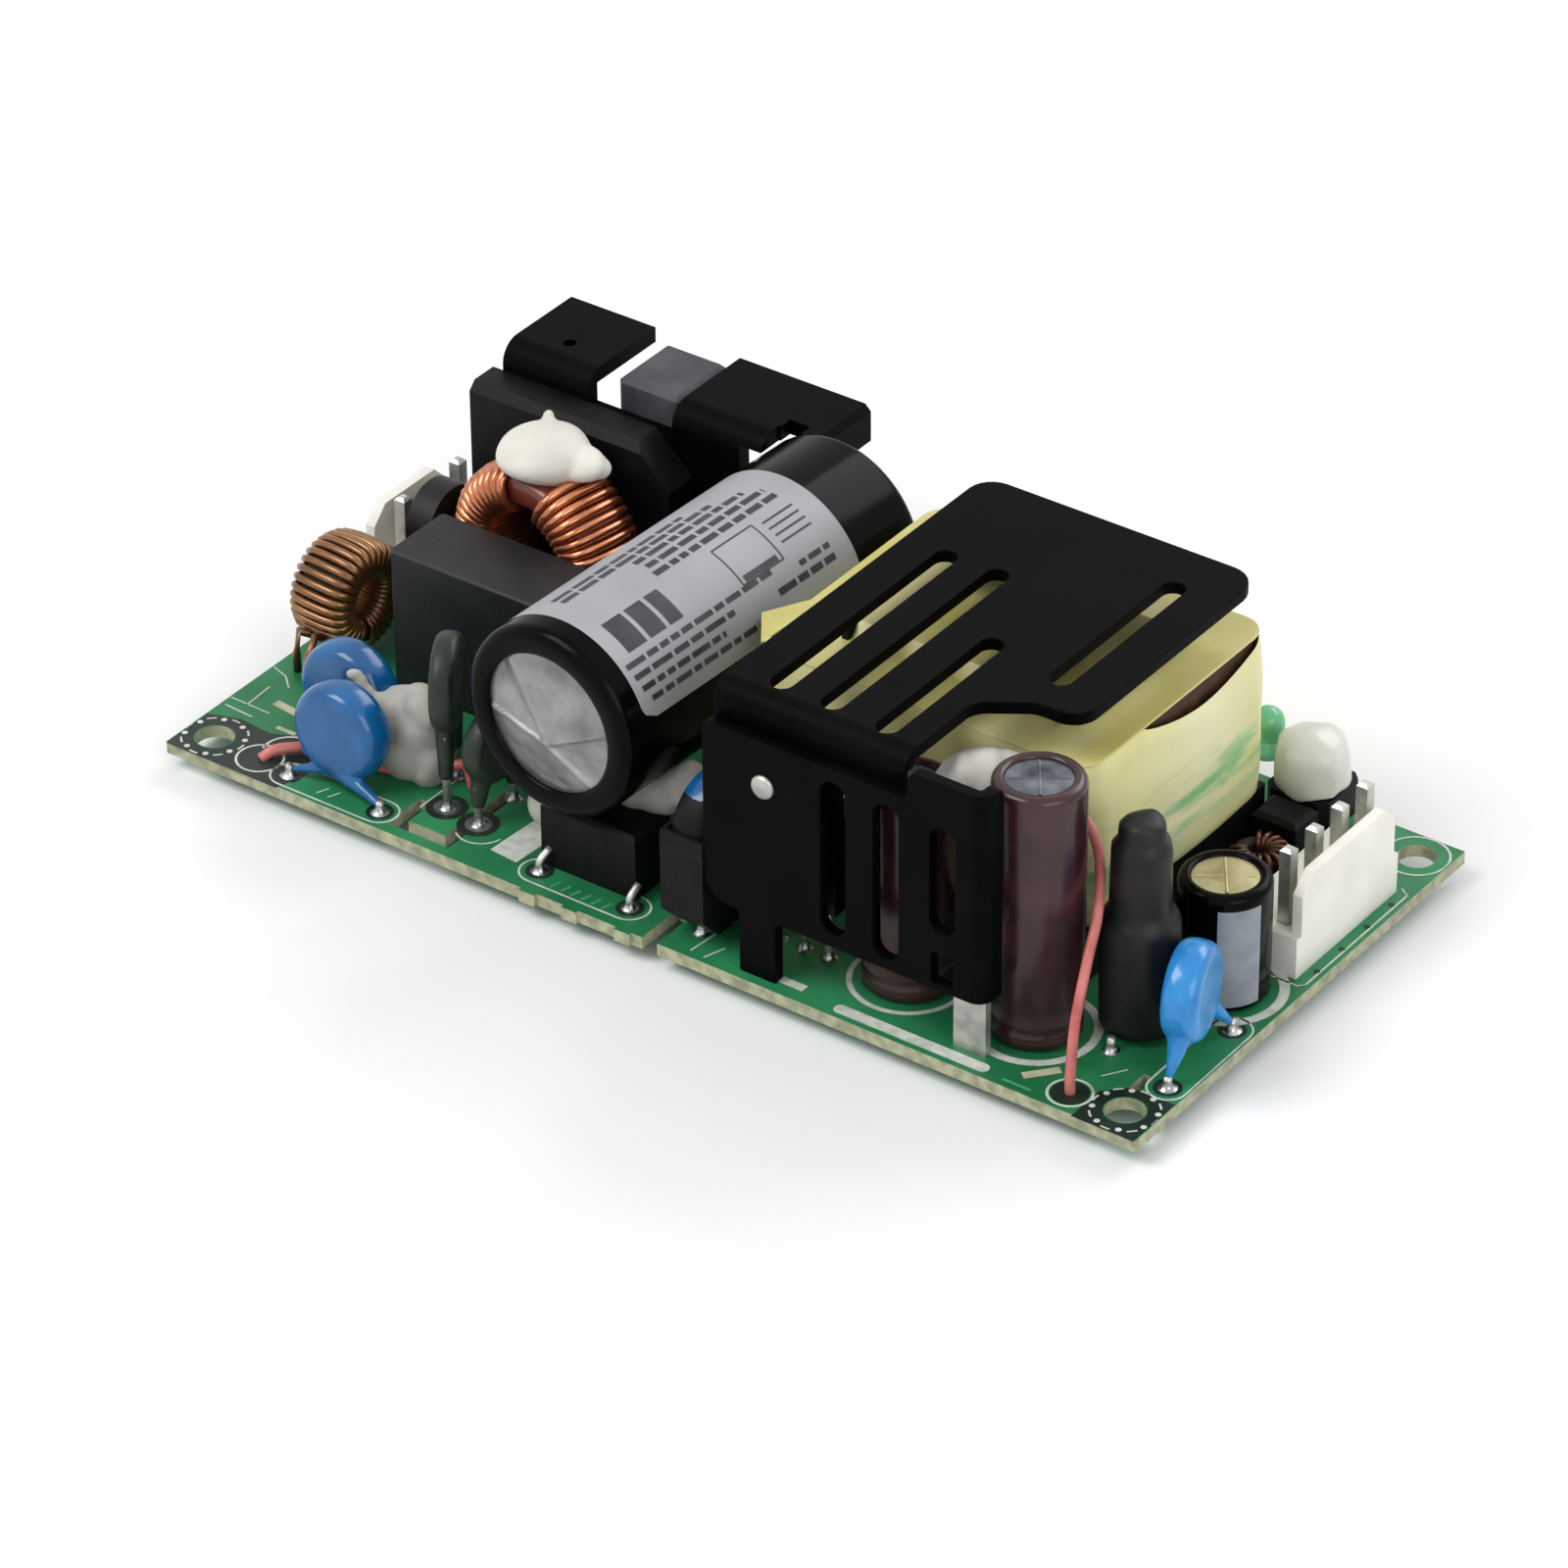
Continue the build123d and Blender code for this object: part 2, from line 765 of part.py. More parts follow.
# Rear heatsink: a sheet that stands behind the rectifier and bends back over the rear edge
rear_front = bridge_front + bridge_t
with BuildPart() as rear_heatsink:
    with BuildSketch(Plane(origin=(rear_sink_left, rear_front, board_t), x_dir=(0, 1, 0),
                           z_dir=(1, 0, 0))) as section:
        with BuildLine():
            Polyline(
                (0, rear_sink_foot_gap),
                (sheet_t, rear_sink_foot_gap),
                (sheet_t, rear_sink_top - sheet_t),
                (rear_sink_back - rear_front, rear_sink_top - sheet_t),
                (rear_sink_back - rear_front, rear_sink_top),
                (0, rear_sink_top),
                close=True,
            )
        make_face()
        fillet(section.vertices().group_by(Axis.Y)[-1].sort_by(Axis.X)[0], bend_r + sheet_t)
    extrude(amount=rear_sink_right - rear_sink_left)
    with BuildSketch(Plane(origin=(rear_sink_right, rear_sink_step_y, board_t), x_dir=(1, 0, 0),
                           z_dir=(0, -1, 0))):
        with Locations((0, rear_sink_top)):
            Rectangle(sheet_t, rear_drop, align=(Align.MAX, Align.MAX))
    extrude(amount=rear_sink_step_y - rear_sink_back)
    chamfer(
        rear_heatsink.edges().filter_by(Axis.Y).group_by(Axis.Z)[-1].sort_by(Axis.X)[-1], bend_r
    )
    with BuildSketch(deck(0)):
        with Locations((rear_sink_plate_right, rear_front)):
            Rectangle(rear_sink_right - rear_sink_plate_right, rear_sink_step_y - rear_front,
                      align=(Align.MIN, Align.MIN))
    extrude(amount=rear_sink_top - sheet_t, mode=Mode.SUBTRACT)
    with BuildSketch(deck(0)):
        with Locations((rear_lip_x, rear_front)):
            Rectangle(rear_sink_right - rear_lip_x, rear_sink_step_y - rear_front,
                      align=(Align.MIN, Align.MIN))
    extrude(amount=rear_sink_top, mode=Mode.SUBTRACT)
    with BuildSketch(deck(rear_notch_low)):
        with Locations((rear_notch_left, rear_front)):
            Rectangle(rear_notch_right - rear_notch_left, rear_sink_back - rear_front,
                      align=(Align.MIN, Align.MIN))
    extrude(amount=rear_sink_top, mode=Mode.SUBTRACT)
    with BuildSketch(deck(rear_sink_top - 2 * sheet_t)):
        with Locations((rear_hole_x, rear_hole_y)):
            Circle(rear_hole_d / 2)
        with Locations((rear_slot_x, rear_sink_step_y)):
            Rectangle(rear_slot_w, rear_slot_l, align=(Align.CENTER, Align.MIN))
    extrude(amount=3 * sheet_t, mode=Mode.SUBTRACT)
    for foot_x in (rear_sink_left + foot_in, rear_sink_plate_right - foot_in):
        foot_slots.append((foot_x, rear_front + sheet_t / 2, foot_w, sheet_t))
        with Locations((foot_x, rear_front + sheet_t / 2, 0)):
            Box(foot_w, sheet_t, board_t + rear_sink_foot_gap, align=stand)
save(rear_heatsink, "rear_heatsink")

# Power transistor against the rear heatsink, under a rubber cap
cap_front = rear_front + sheet_t
with BuildPart() as transistor_cap:
    with BuildSketch(deck(cap_foot)) as outline:
        with Locations((cap_x, cap_front)):
            Rectangle(cap_w, cap_d, align=(Align.CENTER, Align.MIN))
        chamfer(outline.vertices(), cap_wall * 0.8)
    extrude(amount=cap_top - cap_foot)
    chamfer(transistor_cap.faces().sort_by(Axis.Z)[-1].edges(), cap_wall)
    with Locations((cap_x, cap_front + cap_wall, board_t)):
        Box(transistor_w + 2 * fit, transistor_t + 2 * fit, cap_top - cap_wall,
            align=(Align.CENTER, Align.MIN, Align.MIN), mode=Mode.SUBTRACT)
save(transistor_cap, "transistor_cap")
transistor_y = cap_front + cap_wall + fit + transistor_t / 2
with BuildPart() as power_transistor:
    with Locations((cap_x, transistor_y, board_t + transistor_foot)):
        Box(transistor_w, transistor_t, cap_top - cap_wall - fit - transistor_foot, align=stand)
    chamfer(power_transistor.faces().sort_by(Axis.Z)[-1].edges().filter_by(Axis.X), transistor_t / 5)
save(power_transistor, "power_transistor")
for n in (-1, 0, 1):
    leads.append((cap_x + n * transistor_pitch, transistor_y, transistor_foot, lead_d))

# Bulk capacitor, lying on its side a little turned
bulk_axis = Vector(bulk_slope, 1, 0).normalized()
bulk_place = Plane(origin=(bulk_near_x, bulk_near_y, board_t + bulk_z), x_dir=(1, -bulk_slope, 0),
                   z_dir=bulk_axis)
with BuildPart() as bulk_capacitor_sleeve:
    with BuildSketch(bulk_place):
        Circle(bulk_r)
    extrude(amount=bulk_l)
    with BuildSketch(bulk_place.offset(bulk_sleeve_t)):
        RegularPolygon(bulk_r - bulk_sleeve_t, can_sides)
    extrude(amount=bulk_l - 2 * bulk_sleeve_t, mode=Mode.SUBTRACT)
    with BuildSketch(bulk_place):
        RegularPolygon(bulk_fold_r, can_sides)
    extrude(amount=bulk_l, mode=Mode.SUBTRACT)
save(bulk_capacitor_sleeve, "bulk_capacitor_sleeve")
with BuildPart() as bulk_capacitor_can:
    with BuildSketch(bulk_place.offset(bulk_sleeve_t + fit)):
        RegularPolygon(bulk_r - bulk_sleeve_t - fit, can_sides)
    extrude(amount=bulk_l - 2 * bulk_sleeve_t - 2 * fit)
    with BuildSketch(bulk_place):
        for ray in (90, 210, 330):
            with Locations(Location((bulk_score_l / 2 * cos(radians(ray)),
                                     bulk_score_l / 2 * sin(radians(ray))), ray)):
                Rectangle(bulk_score_l, bulk_score_w)
    extrude(amount=bulk_sleeve_t + fit + bulk_score_w, mode=Mode.SUBTRACT)
save(bulk_capacitor_can, "bulk_capacitor_can")
bulk_end = Vector(bulk_near_x, bulk_near_y, board_t + bulk_z) + bulk_axis * (
    bulk_l - bulk_sleeve_t - fit
)
with BuildPart() as bulk_capacitor_leads:
    for side in (-1, 1):
        start = bulk_end + Vector(side * bulk_pitch / 2, -side * bulk_slope * bulk_pitch / 2, 0)
        knee = start + bulk_axis * bulk_lead_out
        wire([tuple(start), tuple(knee), (knee.X, knee.Y, board_t)], lead_d)
        drillings.append((knee.X, knee.Y, lead_d))
save(bulk_capacitor_leads, "bulk_capacitor_leads")

# Sealant at the foot of the bulk capacitor
with BuildPart() as bulk_sealant:
    add(lump(bulk_lump_x, bulk_lump_y, 0, bulk_lump_l, bulk_lump_w, bulk_lump_h).part)
    with BuildSketch(bulk_place):
        Circle(bulk_r + soft_gap)
    extrude(amount=bulk_l, mode=Mode.SUBTRACT)
save(bulk_sealant, "bulk_sealant")

# Film capacitor under the bulk capacitor
with BuildPart() as film_capacitor:
    with Locations((film_x, film_y, board_t)):
        Box(film_l, film_w, film_h, align=stand)
    chamfer(film_capacitor.faces().sort_by(Axis.Z)[-1].edges(), mould_edge)
save(film_capacitor, "film_capacitor")
lead_pair(film_x, film_y, 90, film_pitch, 0)

# Blue disc capacitors at the input side
y_capacitor_front = disc_body(disc_a_x, disc_a_y, disc_z, 90, disc_r, disc_t)
save(y_capacitor_front, "y_capacitor_front")
disc_leads(disc_a_x, disc_a_y, disc_z, 90, disc_r, disc_pitch)
y_capacitor_rear = disc_body(disc_b_x, disc_b_y, disc_z, 90, disc_r, disc_t)
save(y_capacitor_rear, "y_capacitor_rear")
disc_leads(disc_b_x, disc_b_y, disc_z, 90, disc_r, disc_pitch)

# Thermistors
thermistor_1 = disc_body(therm_a_x, therm_a_y, therm_a_z, therm_a_turn, therm_a_r, therm_a_t)
save(thermistor_1, "thermistor_1")
disc_leads(therm_a_x, therm_a_y, therm_a_z, therm_a_turn, therm_a_r, therm_a_pitch)
thermistor_2 = disc_body(therm_b_x, therm_b_y, therm_b_z, therm_b_turn, therm_b_r, therm_b_t)
save(thermistor_2, "thermistor_2")
disc_leads(therm_b_x, therm_b_y, therm_b_z, therm_b_turn, therm_b_r, therm_b_pitch)

# Sealant beside the left discs
left_sealant = lump(left_lump_x, left_lump_y, 0, left_lump_l, left_lump_w, left_lump_h)
save(left_sealant, "left_sealant")

# Disc capacitor beside the bulk capacitor, its lower half in a shrink sleeve
sleeved_disc = disc_body(disc_c_x, disc_c_y, disc_c_z, 0, disc_c_r, disc_c_t)
save(sleeved_disc, "sleeved_disc_capacitor")
disc_c_place = upright(disc_c_x, disc_c_y, disc_c_z, 0)
with BuildPart() as disc_sleeve:
    with BuildSketch(disc_c_place) as outline:
        RegularPolygon(disc_c_r + fit + shrink_t, disc_sides)
        with Locations((0, 0)):
            Rectangle(2 * (disc_c_r + shrink_t), disc_c_z - shrink_foot, align=(Align.CENTER, Align.MAX))
        chamfer(outline.vertices().group_by(Axis.Y)[0], disc_c_r * 0.45)
    extrude(amount=disc_c_t / 2 + fit + shrink_t, both=True)
    with BuildSketch(disc_c_place):
        RegularPolygon(disc_c_r + fit, disc_sides)
    extrude(amount=disc_c_t / 2 + fit, both=True, mode=Mode.SUBTRACT)
    split(bisect_by=deck(shrink_top), keep=Keep.BOTTOM)
save(disc_sleeve, "disc_capacitor_sleeve")
lead_pair(disc_c_x, disc_c_y, 0, disc_c_pitch, shrink_foot)

# Blue disc capacitor at the output side
y_capacitor_output = disc_body(disc_d_x, disc_d_y, disc_d_z, disc_d_turn, disc_d_r, disc_d_t)
save(y_capacitor_output, "y_capacitor_output")
disc_leads(disc_d_x, disc_d_y, disc_d_z, disc_d_turn, disc_d_r, disc_d_pitch)

# Transformer: two core halves, a bobbin with two pin rails, the taped winding and an outer band
core_l = trafo_l - 2 * (trafo_tape_t + fit)
core_w = trafo_w - 2 * (trafo_tape_t + fit)
core_h = trafo_core_top - trafo_foot
window_l = core_l - 2 * trafo_yoke
with BuildPart() as transformer_core:
    with BuildSketch(deck(trafo_foot)) as outline:
        with Locations((trafo_x, trafo_y)):
            Rectangle(core_l, core_w)
            for side in (-1, 1):
                with Locations((0, side * (trafo_post + core_w - 2 * trafo_leg) / 4)):
                    Rectangle(window_l, (core_w - 2 * trafo_leg - trafo_post) / 2, mode=Mode.SUBTRACT)
    extrude(amount=core_h)
    chamfer(transformer_core.edges().filter_by(Axis.Z).group_by(Axis.X)[0], trafo_corner)
    chamfer(transformer_core.edges().filter_by(Axis.Z).group_by(Axis.X)[-1], trafo_corner)
    with Locations((trafo_x, trafo_y, board_t + trafo_foot)):
        Box(trafo_gap, core_w, core_h, align=stand, mode=Mode.SUBTRACT)
save(transformer_core, "transformer_core")

bobbin_in_w = trafo_post + 2 * fit
bobbin_out_w = core_w - 2 * trafo_leg - 2 * fit
bobbin_l = window_l - 2 * fit
bobbin_rail = (trafo_l - bobbin_l) / 2 + bobbin_t
with BuildPart() as transformer_bobbin:
    with BuildSketch(Plane(origin=(trafo_x - bobbin_l / 2, trafo_y, board_t), x_dir=(0, 1, 0),
                           z_dir=(1, 0, 0))):
        with Locations((0, trafo_foot + core_h / 2)):
            Rectangle(bobbin_in_w + 2 * bobbin_t, core_h + 2 * fit + 2 * bobbin_t)
    extrude(amount=bobbin_l)
    for side in (-1, 1):
        with Locations((trafo_x + side * (bobbin_l - bobbin_t) / 2, trafo_y,
                        board_t + trafo_foot - fit - bobbin_t)):
            Box(bobbin_t, bobbin_out_w, core_h + 2 * fit + 2 * bobbin_t + wound_t, align=stand)
        with Locations((trafo_x + side * (trafo_l - bobbin_rail) / 2, trafo_y, board_t)):
            Box(bobbin_rail, trafo_w, trafo_foot - fit, align=stand)
    with Locations((trafo_x, trafo_y, board_t + trafo_foot - fit)):
        Box(trafo_l, bobbin_in_w, core_h + 2 * fit, align=stand, mode=Mode.SUBTRACT)
save(transformer_bobbin, "transformer_bobbin")

# Winding under its tape, in the two windows and round the bobbin
with BuildPart() as transformer_winding:
    with BuildSketch(Plane(origin=(trafo_x - bobbin_l / 2 + bobbin_t + fit, trafo_y, board_t),
                           x_dir=(0, 1, 0), z_dir=(1, 0, 0))) as section:
        with Locations((0, trafo_foot + core_h / 2)):
            Rectangle(bobbin_out_w - 2 * fit, core_h + 2 * bobbin_t + 4 * fit + 2 * wound_t)
            chamfer(section.vertices(), trafo_corner)
            Rectangle(bobbin_in_w + 2 * bobbin_t + 2 * fit, core_h + 2 * bobbin_t + 4 * fit,
                      mode=Mode.SUBTRACT)
    extrude(amount=bobbin_l - 2 * bobbin_t - 2 * fit)
save(transformer_winding, "transformer_winding")

# Yellow tape band round the core
with BuildPart() as transformer_tape:
    with BuildSketch(deck(trafo_foot)):
        with Locations((trafo_x, trafo_y)):
            Rectangle(trafo_l, trafo_w)
    extrude(amount=core_h)
    chamfer(transformer_tape.edges().filter_by(Axis.Z), trafo_corner)
    with BuildSketch(deck(trafo_foot)) as hollow:
        with Locations((trafo_x, trafo_y)):
            Rectangle(core_l + 2 * fit, core_w + 2 * fit)
        chamfer(hollow.vertices(), trafo_corner)
    extrude(amount=core_h, mode=Mode.SUBTRACT)
save(transformer_tape, "transformer_tape")

pin_row_x = trafo_l / 2 - trafo_pin_in
with BuildPart() as transformer_pins:
    for side in (-1, 1):
        for n in range(trafo_pin_count):
            px = trafo_x + side * pin_row_x
            py = trafo_y + (n - (trafo_pin_count - 1) / 2) * trafo_pin_pitch
            drillings.append((px, py, trafo_pin_d))
            pin_holes.append((px, py, trafo_pin_d))
            with Locations((px, py, 0)):
                Box(trafo_pin_d, trafo_pin_d, board_t, align=stand)
save(transformer_pins, "transformer_pins")

# Front heatsink: a slotted plate with one raised end, a leg and a small side flange
front_plane = Plane(origin=(0, front_face_y, board_t), x_dir=(1, 0, 0), z_dir=(0, -1, 0))
front_slots = [
    (x, (low + high) / 2, slot_outline(front_slot_w, high - low))
    for x, low, high in zip(front_slots_x, front_slot_lows, front_slot_tops)
]
with BuildPart() as front_heatsink:
    with BuildSketch(front_plane) as outline:
        with Locations((front_left, front_low)):
            Rectangle(front_right - front_left, front_left_top - front_low, align=(Align.MIN, Align.MIN))
        with Locations((front_step_x, front_low)):
            Rectangle(front_right - front_step_x, front_right_top - front_low,
                      align=(Align.MIN, Align.MIN))
        fillet(outline.vertices().group_by(Axis.Y)[-1].sort_by(Axis.X)[-1], sheet_t)
        fillet(outline.vertices().group_by(Axis.Y)[0].sort_by(Axis.X)[0], front_corner_r)
        with Locations((front_leg_left, 0)):
            Rectangle(front_leg_right - front_leg_left, front_low + sheet_t,
                      align=(Align.MIN, Align.MIN))
        for x, mid, slot in front_slots:
            with Locations((x, mid)):
                add(slot, mode=Mode.SUBTRACT)
        with Locations((front_slots_x[-1], front_window_low)):
            Rectangle(front_window_w, front_window_top - front_window_low,
                      align=(Align.CENTER, Align.MIN), mode=Mode.SUBTRACT)
        with Locations((rivet_x, rivet_z)):
            RegularPolygon(rivet_d / 2 + fit, small_sides, mode=Mode.SUBTRACT)
    extrude(amount=-sheet_t)
    with BuildSketch(deck(front_low + sheet_t)):
        with Locations((front_right, front_face_y)):
            Rectangle(sheet_t, front_flange_d, align=(Align.MAX, Align.MIN))
    extrude(amount=front_right_top - front_low - 3 * sheet_t)
save(front_heatsink, "front_heatsink")

# Top heatsink: a slotted plate with a flange turned down behind the front plate
flange_face = front_face_y + sheet_t
top_slots = [
    (x, (near + far) / 2, slot_outline(top_slot_w, far - near))
    for x, near, far in zip(top_slots_x, top_slots_near, top_slots_far)
]
with BuildPart() as top_heatsink:
    with BuildSketch(deck(top_plate_z)) as outline:
        with BuildLine():
            Polyline(
                (top_left, flange_face),
                (top_cut_x, flange_face),
                (top_cut_x, top_cut_y),
                (top_cut_in_x, top_cut_in_y),
                (top_right, top_cut_in_y),
                (top_right, top_back),
                (top_left, top_back),
                close=True,
            )
        make_face()
        for x, mid, slot in top_slots:
            with Locations((x, mid)):
                add(slot, mode=Mode.SUBTRACT)
    extrude(amount=sheet_t)
    with BuildSketch(Plane(origin=(0, flange_face, board_t), x_dir=(1, 0, 0), z_dir=(0, -1, 0))) as drop:
        with Locations((top_left, top_flange_low)):
            Rectangle(top_flange_right - top_left, top_plate_z + sheet_t - top_flange_low,
                      align=(Align.MIN, Align.MIN))
        fillet(drop.vertices().group_by(Axis.Y)[0], sheet_t)
        with Locations((rivet_x, rivet_z)):
            RegularPolygon(rivet_d / 2 + fit, small_sides, mode=Mode.SUBTRACT)
    extrude(amount=-sheet_t)
    fillet(top_heatsink.edges().filter_by(Axis.X).group_by(Axis.Y)[0].group_by(Axis.Z)[-1],
           bend_r + sheet_t / 2)
save(top_heatsink, "top_heatsink")

# Tinned foot that holds the raised end of the front heatsink
with BuildPart() as heatsink_foot:
    with BuildSketch(Plane(origin=(sink_foot_x, front_face_y + sheet_t, board_t), x_dir=(1, 0, 0),
                           z_dir=(0, -1, 0))) as outline:
        with Locations((0, -board_t)):
            Rectangle(sink_foot_w / 2, board_t + sheet_t, align=(Align.CENTER, Align.MIN))
        Rectangle(sink_foot_w, front_low + sheet_t - 2 * fit, align=(Align.CENTER, Align.MIN))
    extrude(amount=-sheet_t / 2)
save(heatsink_foot, "heatsink_foot")
foot_slots.append((sink_foot_x, front_face_y + sheet_t + sheet_t / 4, sink_foot_w / 2, sheet_t / 2))

# Output rectifier behind the turned-down flange, held by a rivet
rect_face = flange_face + sheet_t
rect_top = rivet_z + rect_tab_top
with BuildPart() as output_rectifier:
    with Locations((rivet_x, rect_face, board_t + rect_top)):
        Box(rect_w, rect_tab_t, rect_h - rect_body_h, align=(Align.CENTER, Align.MIN, Align.MAX))
    with Locations((rivet_x, rect_face, board_t + rect_top - rect_h)):
        Box(rect_w, rect_body_t, rect_body_h, align=(Align.CENTER, Align.MIN, Align.MIN))
    chamfer(output_rectifier.faces().sort_by(Axis.Y)[-1].edges().filter_by(Axis.X), rect_tab_t / 2)
    with BuildSketch(Plane(origin=(rivet_x, rect_face, board_t + rivet_z), x_dir=(1, 0, 0),
                           z_dir=(0, -1, 0))):
        RegularPolygon(rivet_d / 2 + fit, small_sides)
    extrude(amount=-rect_tab_t, mode=Mode.SUBTRACT)
save(output_rectifier, "output_rectifier")
for n in (-1, 0, 1):
    leads.append((rivet_x + n * rect_pitch, rect_face + rect_lead_back, rect_top - rect_h, lead_d))
with BuildPart() as heatsink_rivet:
    with BuildSketch(front_plane):
        with Locations((rivet_x, rivet_z)):
            RegularPolygon(rivet_head_d / 2, small_sides)
    extrude(amount=rivet_head_h)
    with BuildSketch(front_plane):
        with Locations((rivet_x, rivet_z)):
            RegularPolygon(rivet_d / 2, small_sides)
    extrude(amount=-2 * sheet_t - rect_tab_t)
    with BuildSketch(Plane(origin=(0, rect_face + rect_tab_t, board_t), x_dir=(1, 0, 0),
                           z_dir=(0, -1, 0))):
        with Locations((rivet_x, rivet_z)):
            RegularPolygon(rivet_d * 0.7, small_sides)
    extrude(amount=-rivet_head_h)
save(heatsink_rivet, "heatsink_rivet")

# Upright capacitors at the output side
output_capacitor_1 = capacitor(tall_a_x, tall_a_y, tall_h, tall_r)
save(output_capacitor_1, "output_capacitor_1")
output_capacitor_2 = capacitor(tall_b_x, tall_b_y, tall_b_h, tall_r)
save(output_capacitor_2, "output_capacitor_2")
small_capacitor = capacitor(small_x, small_y, small_h, tall_r)
save(small_capacitor, "small_capacitor")
lead_pair(tall_a_x, tall_a_y, 90, tall_pitch, 0)
lead_pair(tall_b_x, tall_b_y, 90, tall_pitch, 0)
lead_pair(small_x, small_y, 0, tall_pitch, 0)

# Sealant between the output capacitors
out_lump_left = tall_b_x + tall_r * 0.7
out_lump_right = tall_a_x - tall_r - soft_gap
with BuildPart() as output_sealant:
    add(lump((out_lump_left + out_lump_right) / 2, tall_b_y + tall_r * 0.7, out_lump_low,
             out_lump_right - out_lump_left, out_lump_w, out_lump_h).part)
    for x, y in ((tall_a_x, tall_a_y), (tall_b_x, tall_b_y)):
        with Locations((x, y, 0)):
            Cylinder(tall_r + soft_gap, 2 * tall_h, align=stand, mode=Mode.SUBTRACT)
save(output_sealant, "output_sealant")

# Rod inductor in its shrink sleeve: one stepped round body
with BuildPart() as rod_inductor:
    for low, high, radius in (
        (rod_foot, rod_low_h, rod_low_r),
        (rod_low_h, rod_neck_h, rod_mid_r),
        (rod_neck_h, rod_h, rod_tip_r),
    ):
        with BuildSketch(deck(low)):
            with Locations((rod_x, rod_y)):
                RegularPolygon(radius, can_sides)
        extrude(amount=high - low)
save(rod_inductor, "rod_inductor")
leads.append((rod_x, rod_y, rod_foot, lead_d))
leads.append((rod_x, rod_lead_y, rod_low_h / 2, lead_d))

# Trimmer on its three legs, with a milky cap of sealant
with BuildPart() as trimmer:
    with BuildSketch(deck(trimmer_foot)) as outline:
        with Locations((trimmer_x, trimmer_y)):
            Rectangle(trimmer_w, trimmer_w)
        chamfer(outline.vertices(), trimmer_w / 8)
    extrude(amount=trimmer_h - trimmer_foot)
save(trimmer, "trimmer")
for dx, dy in ((-1, -1), (1, -1), (0, 1)):
    leads.append((trimmer_x + dx * pin_pitch / 2, trimmer_y + dy * pin_pitch / 2, trimmer_foot, lead_d))
with BuildPart() as trimmer_sealant:
    with BuildSketch(deck(trimmer_h)):
        with Locations((trimmer_x, trimmer_y)):
            RegularPolygon(sealant_r, 10)
    extrude(amount=sealant_top - trimmer_h)
    chamfer(trimmer_sealant.faces().sort_by(Axis.Z)[-1].edges(), sealant_r * 0.4)
save(trimmer_sealant, "trimmer_sealant")

# Green lamp on its leads
with BuildPart() as status_led:
    with BuildSketch(deck(lamp_foot)):
        with Locations((lamp_x, lamp_y)):
            RegularPolygon(lamp_rim_r, small_sides)
    extrude(amount=lamp_rim_h)
    with BuildSketch(deck(lamp_foot)):
        with Locations((lamp_x, lamp_y)):
            RegularPolygon(lamp_r, small_sides)
    extrude(amount=lamp_h)
save(status_led, "status_led")
lead_pair(lamp_x, lamp_y, 90, lamp_pitch, lamp_foot, thin_lead_d)

# Optical coupler
with BuildPart() as optocoupler:
    with Locations((coupler_x, coupler_y, board_t + coupler_foot)):
        Box(coupler_l, coupler_w, coupler_h, align=stand)
    chamfer(optocoupler.faces().sort_by(Axis.Z)[-1].edges(), coupler_h / 8)
save(optocoupler, "optocoupler")
for dx in (-1, 1):
    for dy in (-1, 1):
        leads.append(
            (coupler_x + dx * coupler_l * 0.3, coupler_y + dy * coupler_pitch / 2, coupler_foot, thin_lead_d)
        )

# Small ring inductor lying flat
bead_place = Plane(origin=(bead_x, bead_y, board_t + bead_foot + bead_wire_d + bead_t / 2))
output_inductor_core = ring_core(bead_place, bead_r, bead_bore, bead_t)
save(output_inductor_core, "output_inductor_core")
bead_coil = ring_winding(
    bead_place, bead_r, bead_bore, bead_t, bead_wire_d,
    [(bead_turns, -bead_span / 2, bead_span)]
)
with BuildPart() as output_inductor_winding:
    add(bead_coil.part)
    for turn in (-bead_span / 2, bead_span / 2 - bead_span / bead_turns):
        px = bead_x + (bead_r + bead_wire_d / 2) * cos(radians(turn))
        py = bead_y + (bead_r + bead_wire_d / 2) * sin(radians(turn))
        drillings.append((px, py, bead_wire_d))
        with Locations((px, py, board_t)):
            Box(bead_wire_d, bead_wire_d, bead_foot + bead_wire_d, align=stand)
save(output_inductor_winding, "output_inductor_winding")

# Red jumper wire, low under the left discs
jumper_z = board_t + jumper_d / 2 + soft_gap
with BuildPart() as red_jumper_wire:
    wire(
        [
            (jumper_start_x, jumper_start_y, board_t),
            (jumper_start_x, jumper_start_y, jumper_z),
            ((jumper_start_x + disc_a_x) / 2, disc_a_y - jumper_bow, jumper_z),
            (disc_a_x + jumper_past, disc_a_y + jumper_rise, jumper_z),
            (jumper_end_x, jumper_end_y, jumper_z),
            (jumper_end_x, jumper_end_y, board_t),
        ],
        jumper_d,
    )
save(red_jumper_wire, "red_jumper_wire")
for x, y in ((jumper_start_x, jumper_start_y), (jumper_end_x, jumper_end_y)):
    drillings.append((x, y, jumper_d))

# Red output wire, from the board up between the tall capacitor and the rod inductor
trafo_front = trafo_y - trafo_w / 2
with BuildPart() as red_output_wire:
    wire(
        [(out_wire_x, out_wire_y, board_t)]
        + [(out_side + past, y, board_t + z) for past, y, z in out_wire_route]
        + [(out_side + out_wire_route[-1][0], trafo_front - fit, board_t + out_wire_route[-1][2])],
        out_wire_d,
    )
save(red_output_wire, "red_output_wire")
drillings.append((out_wire_x, out_wire_y, out_wire_d))

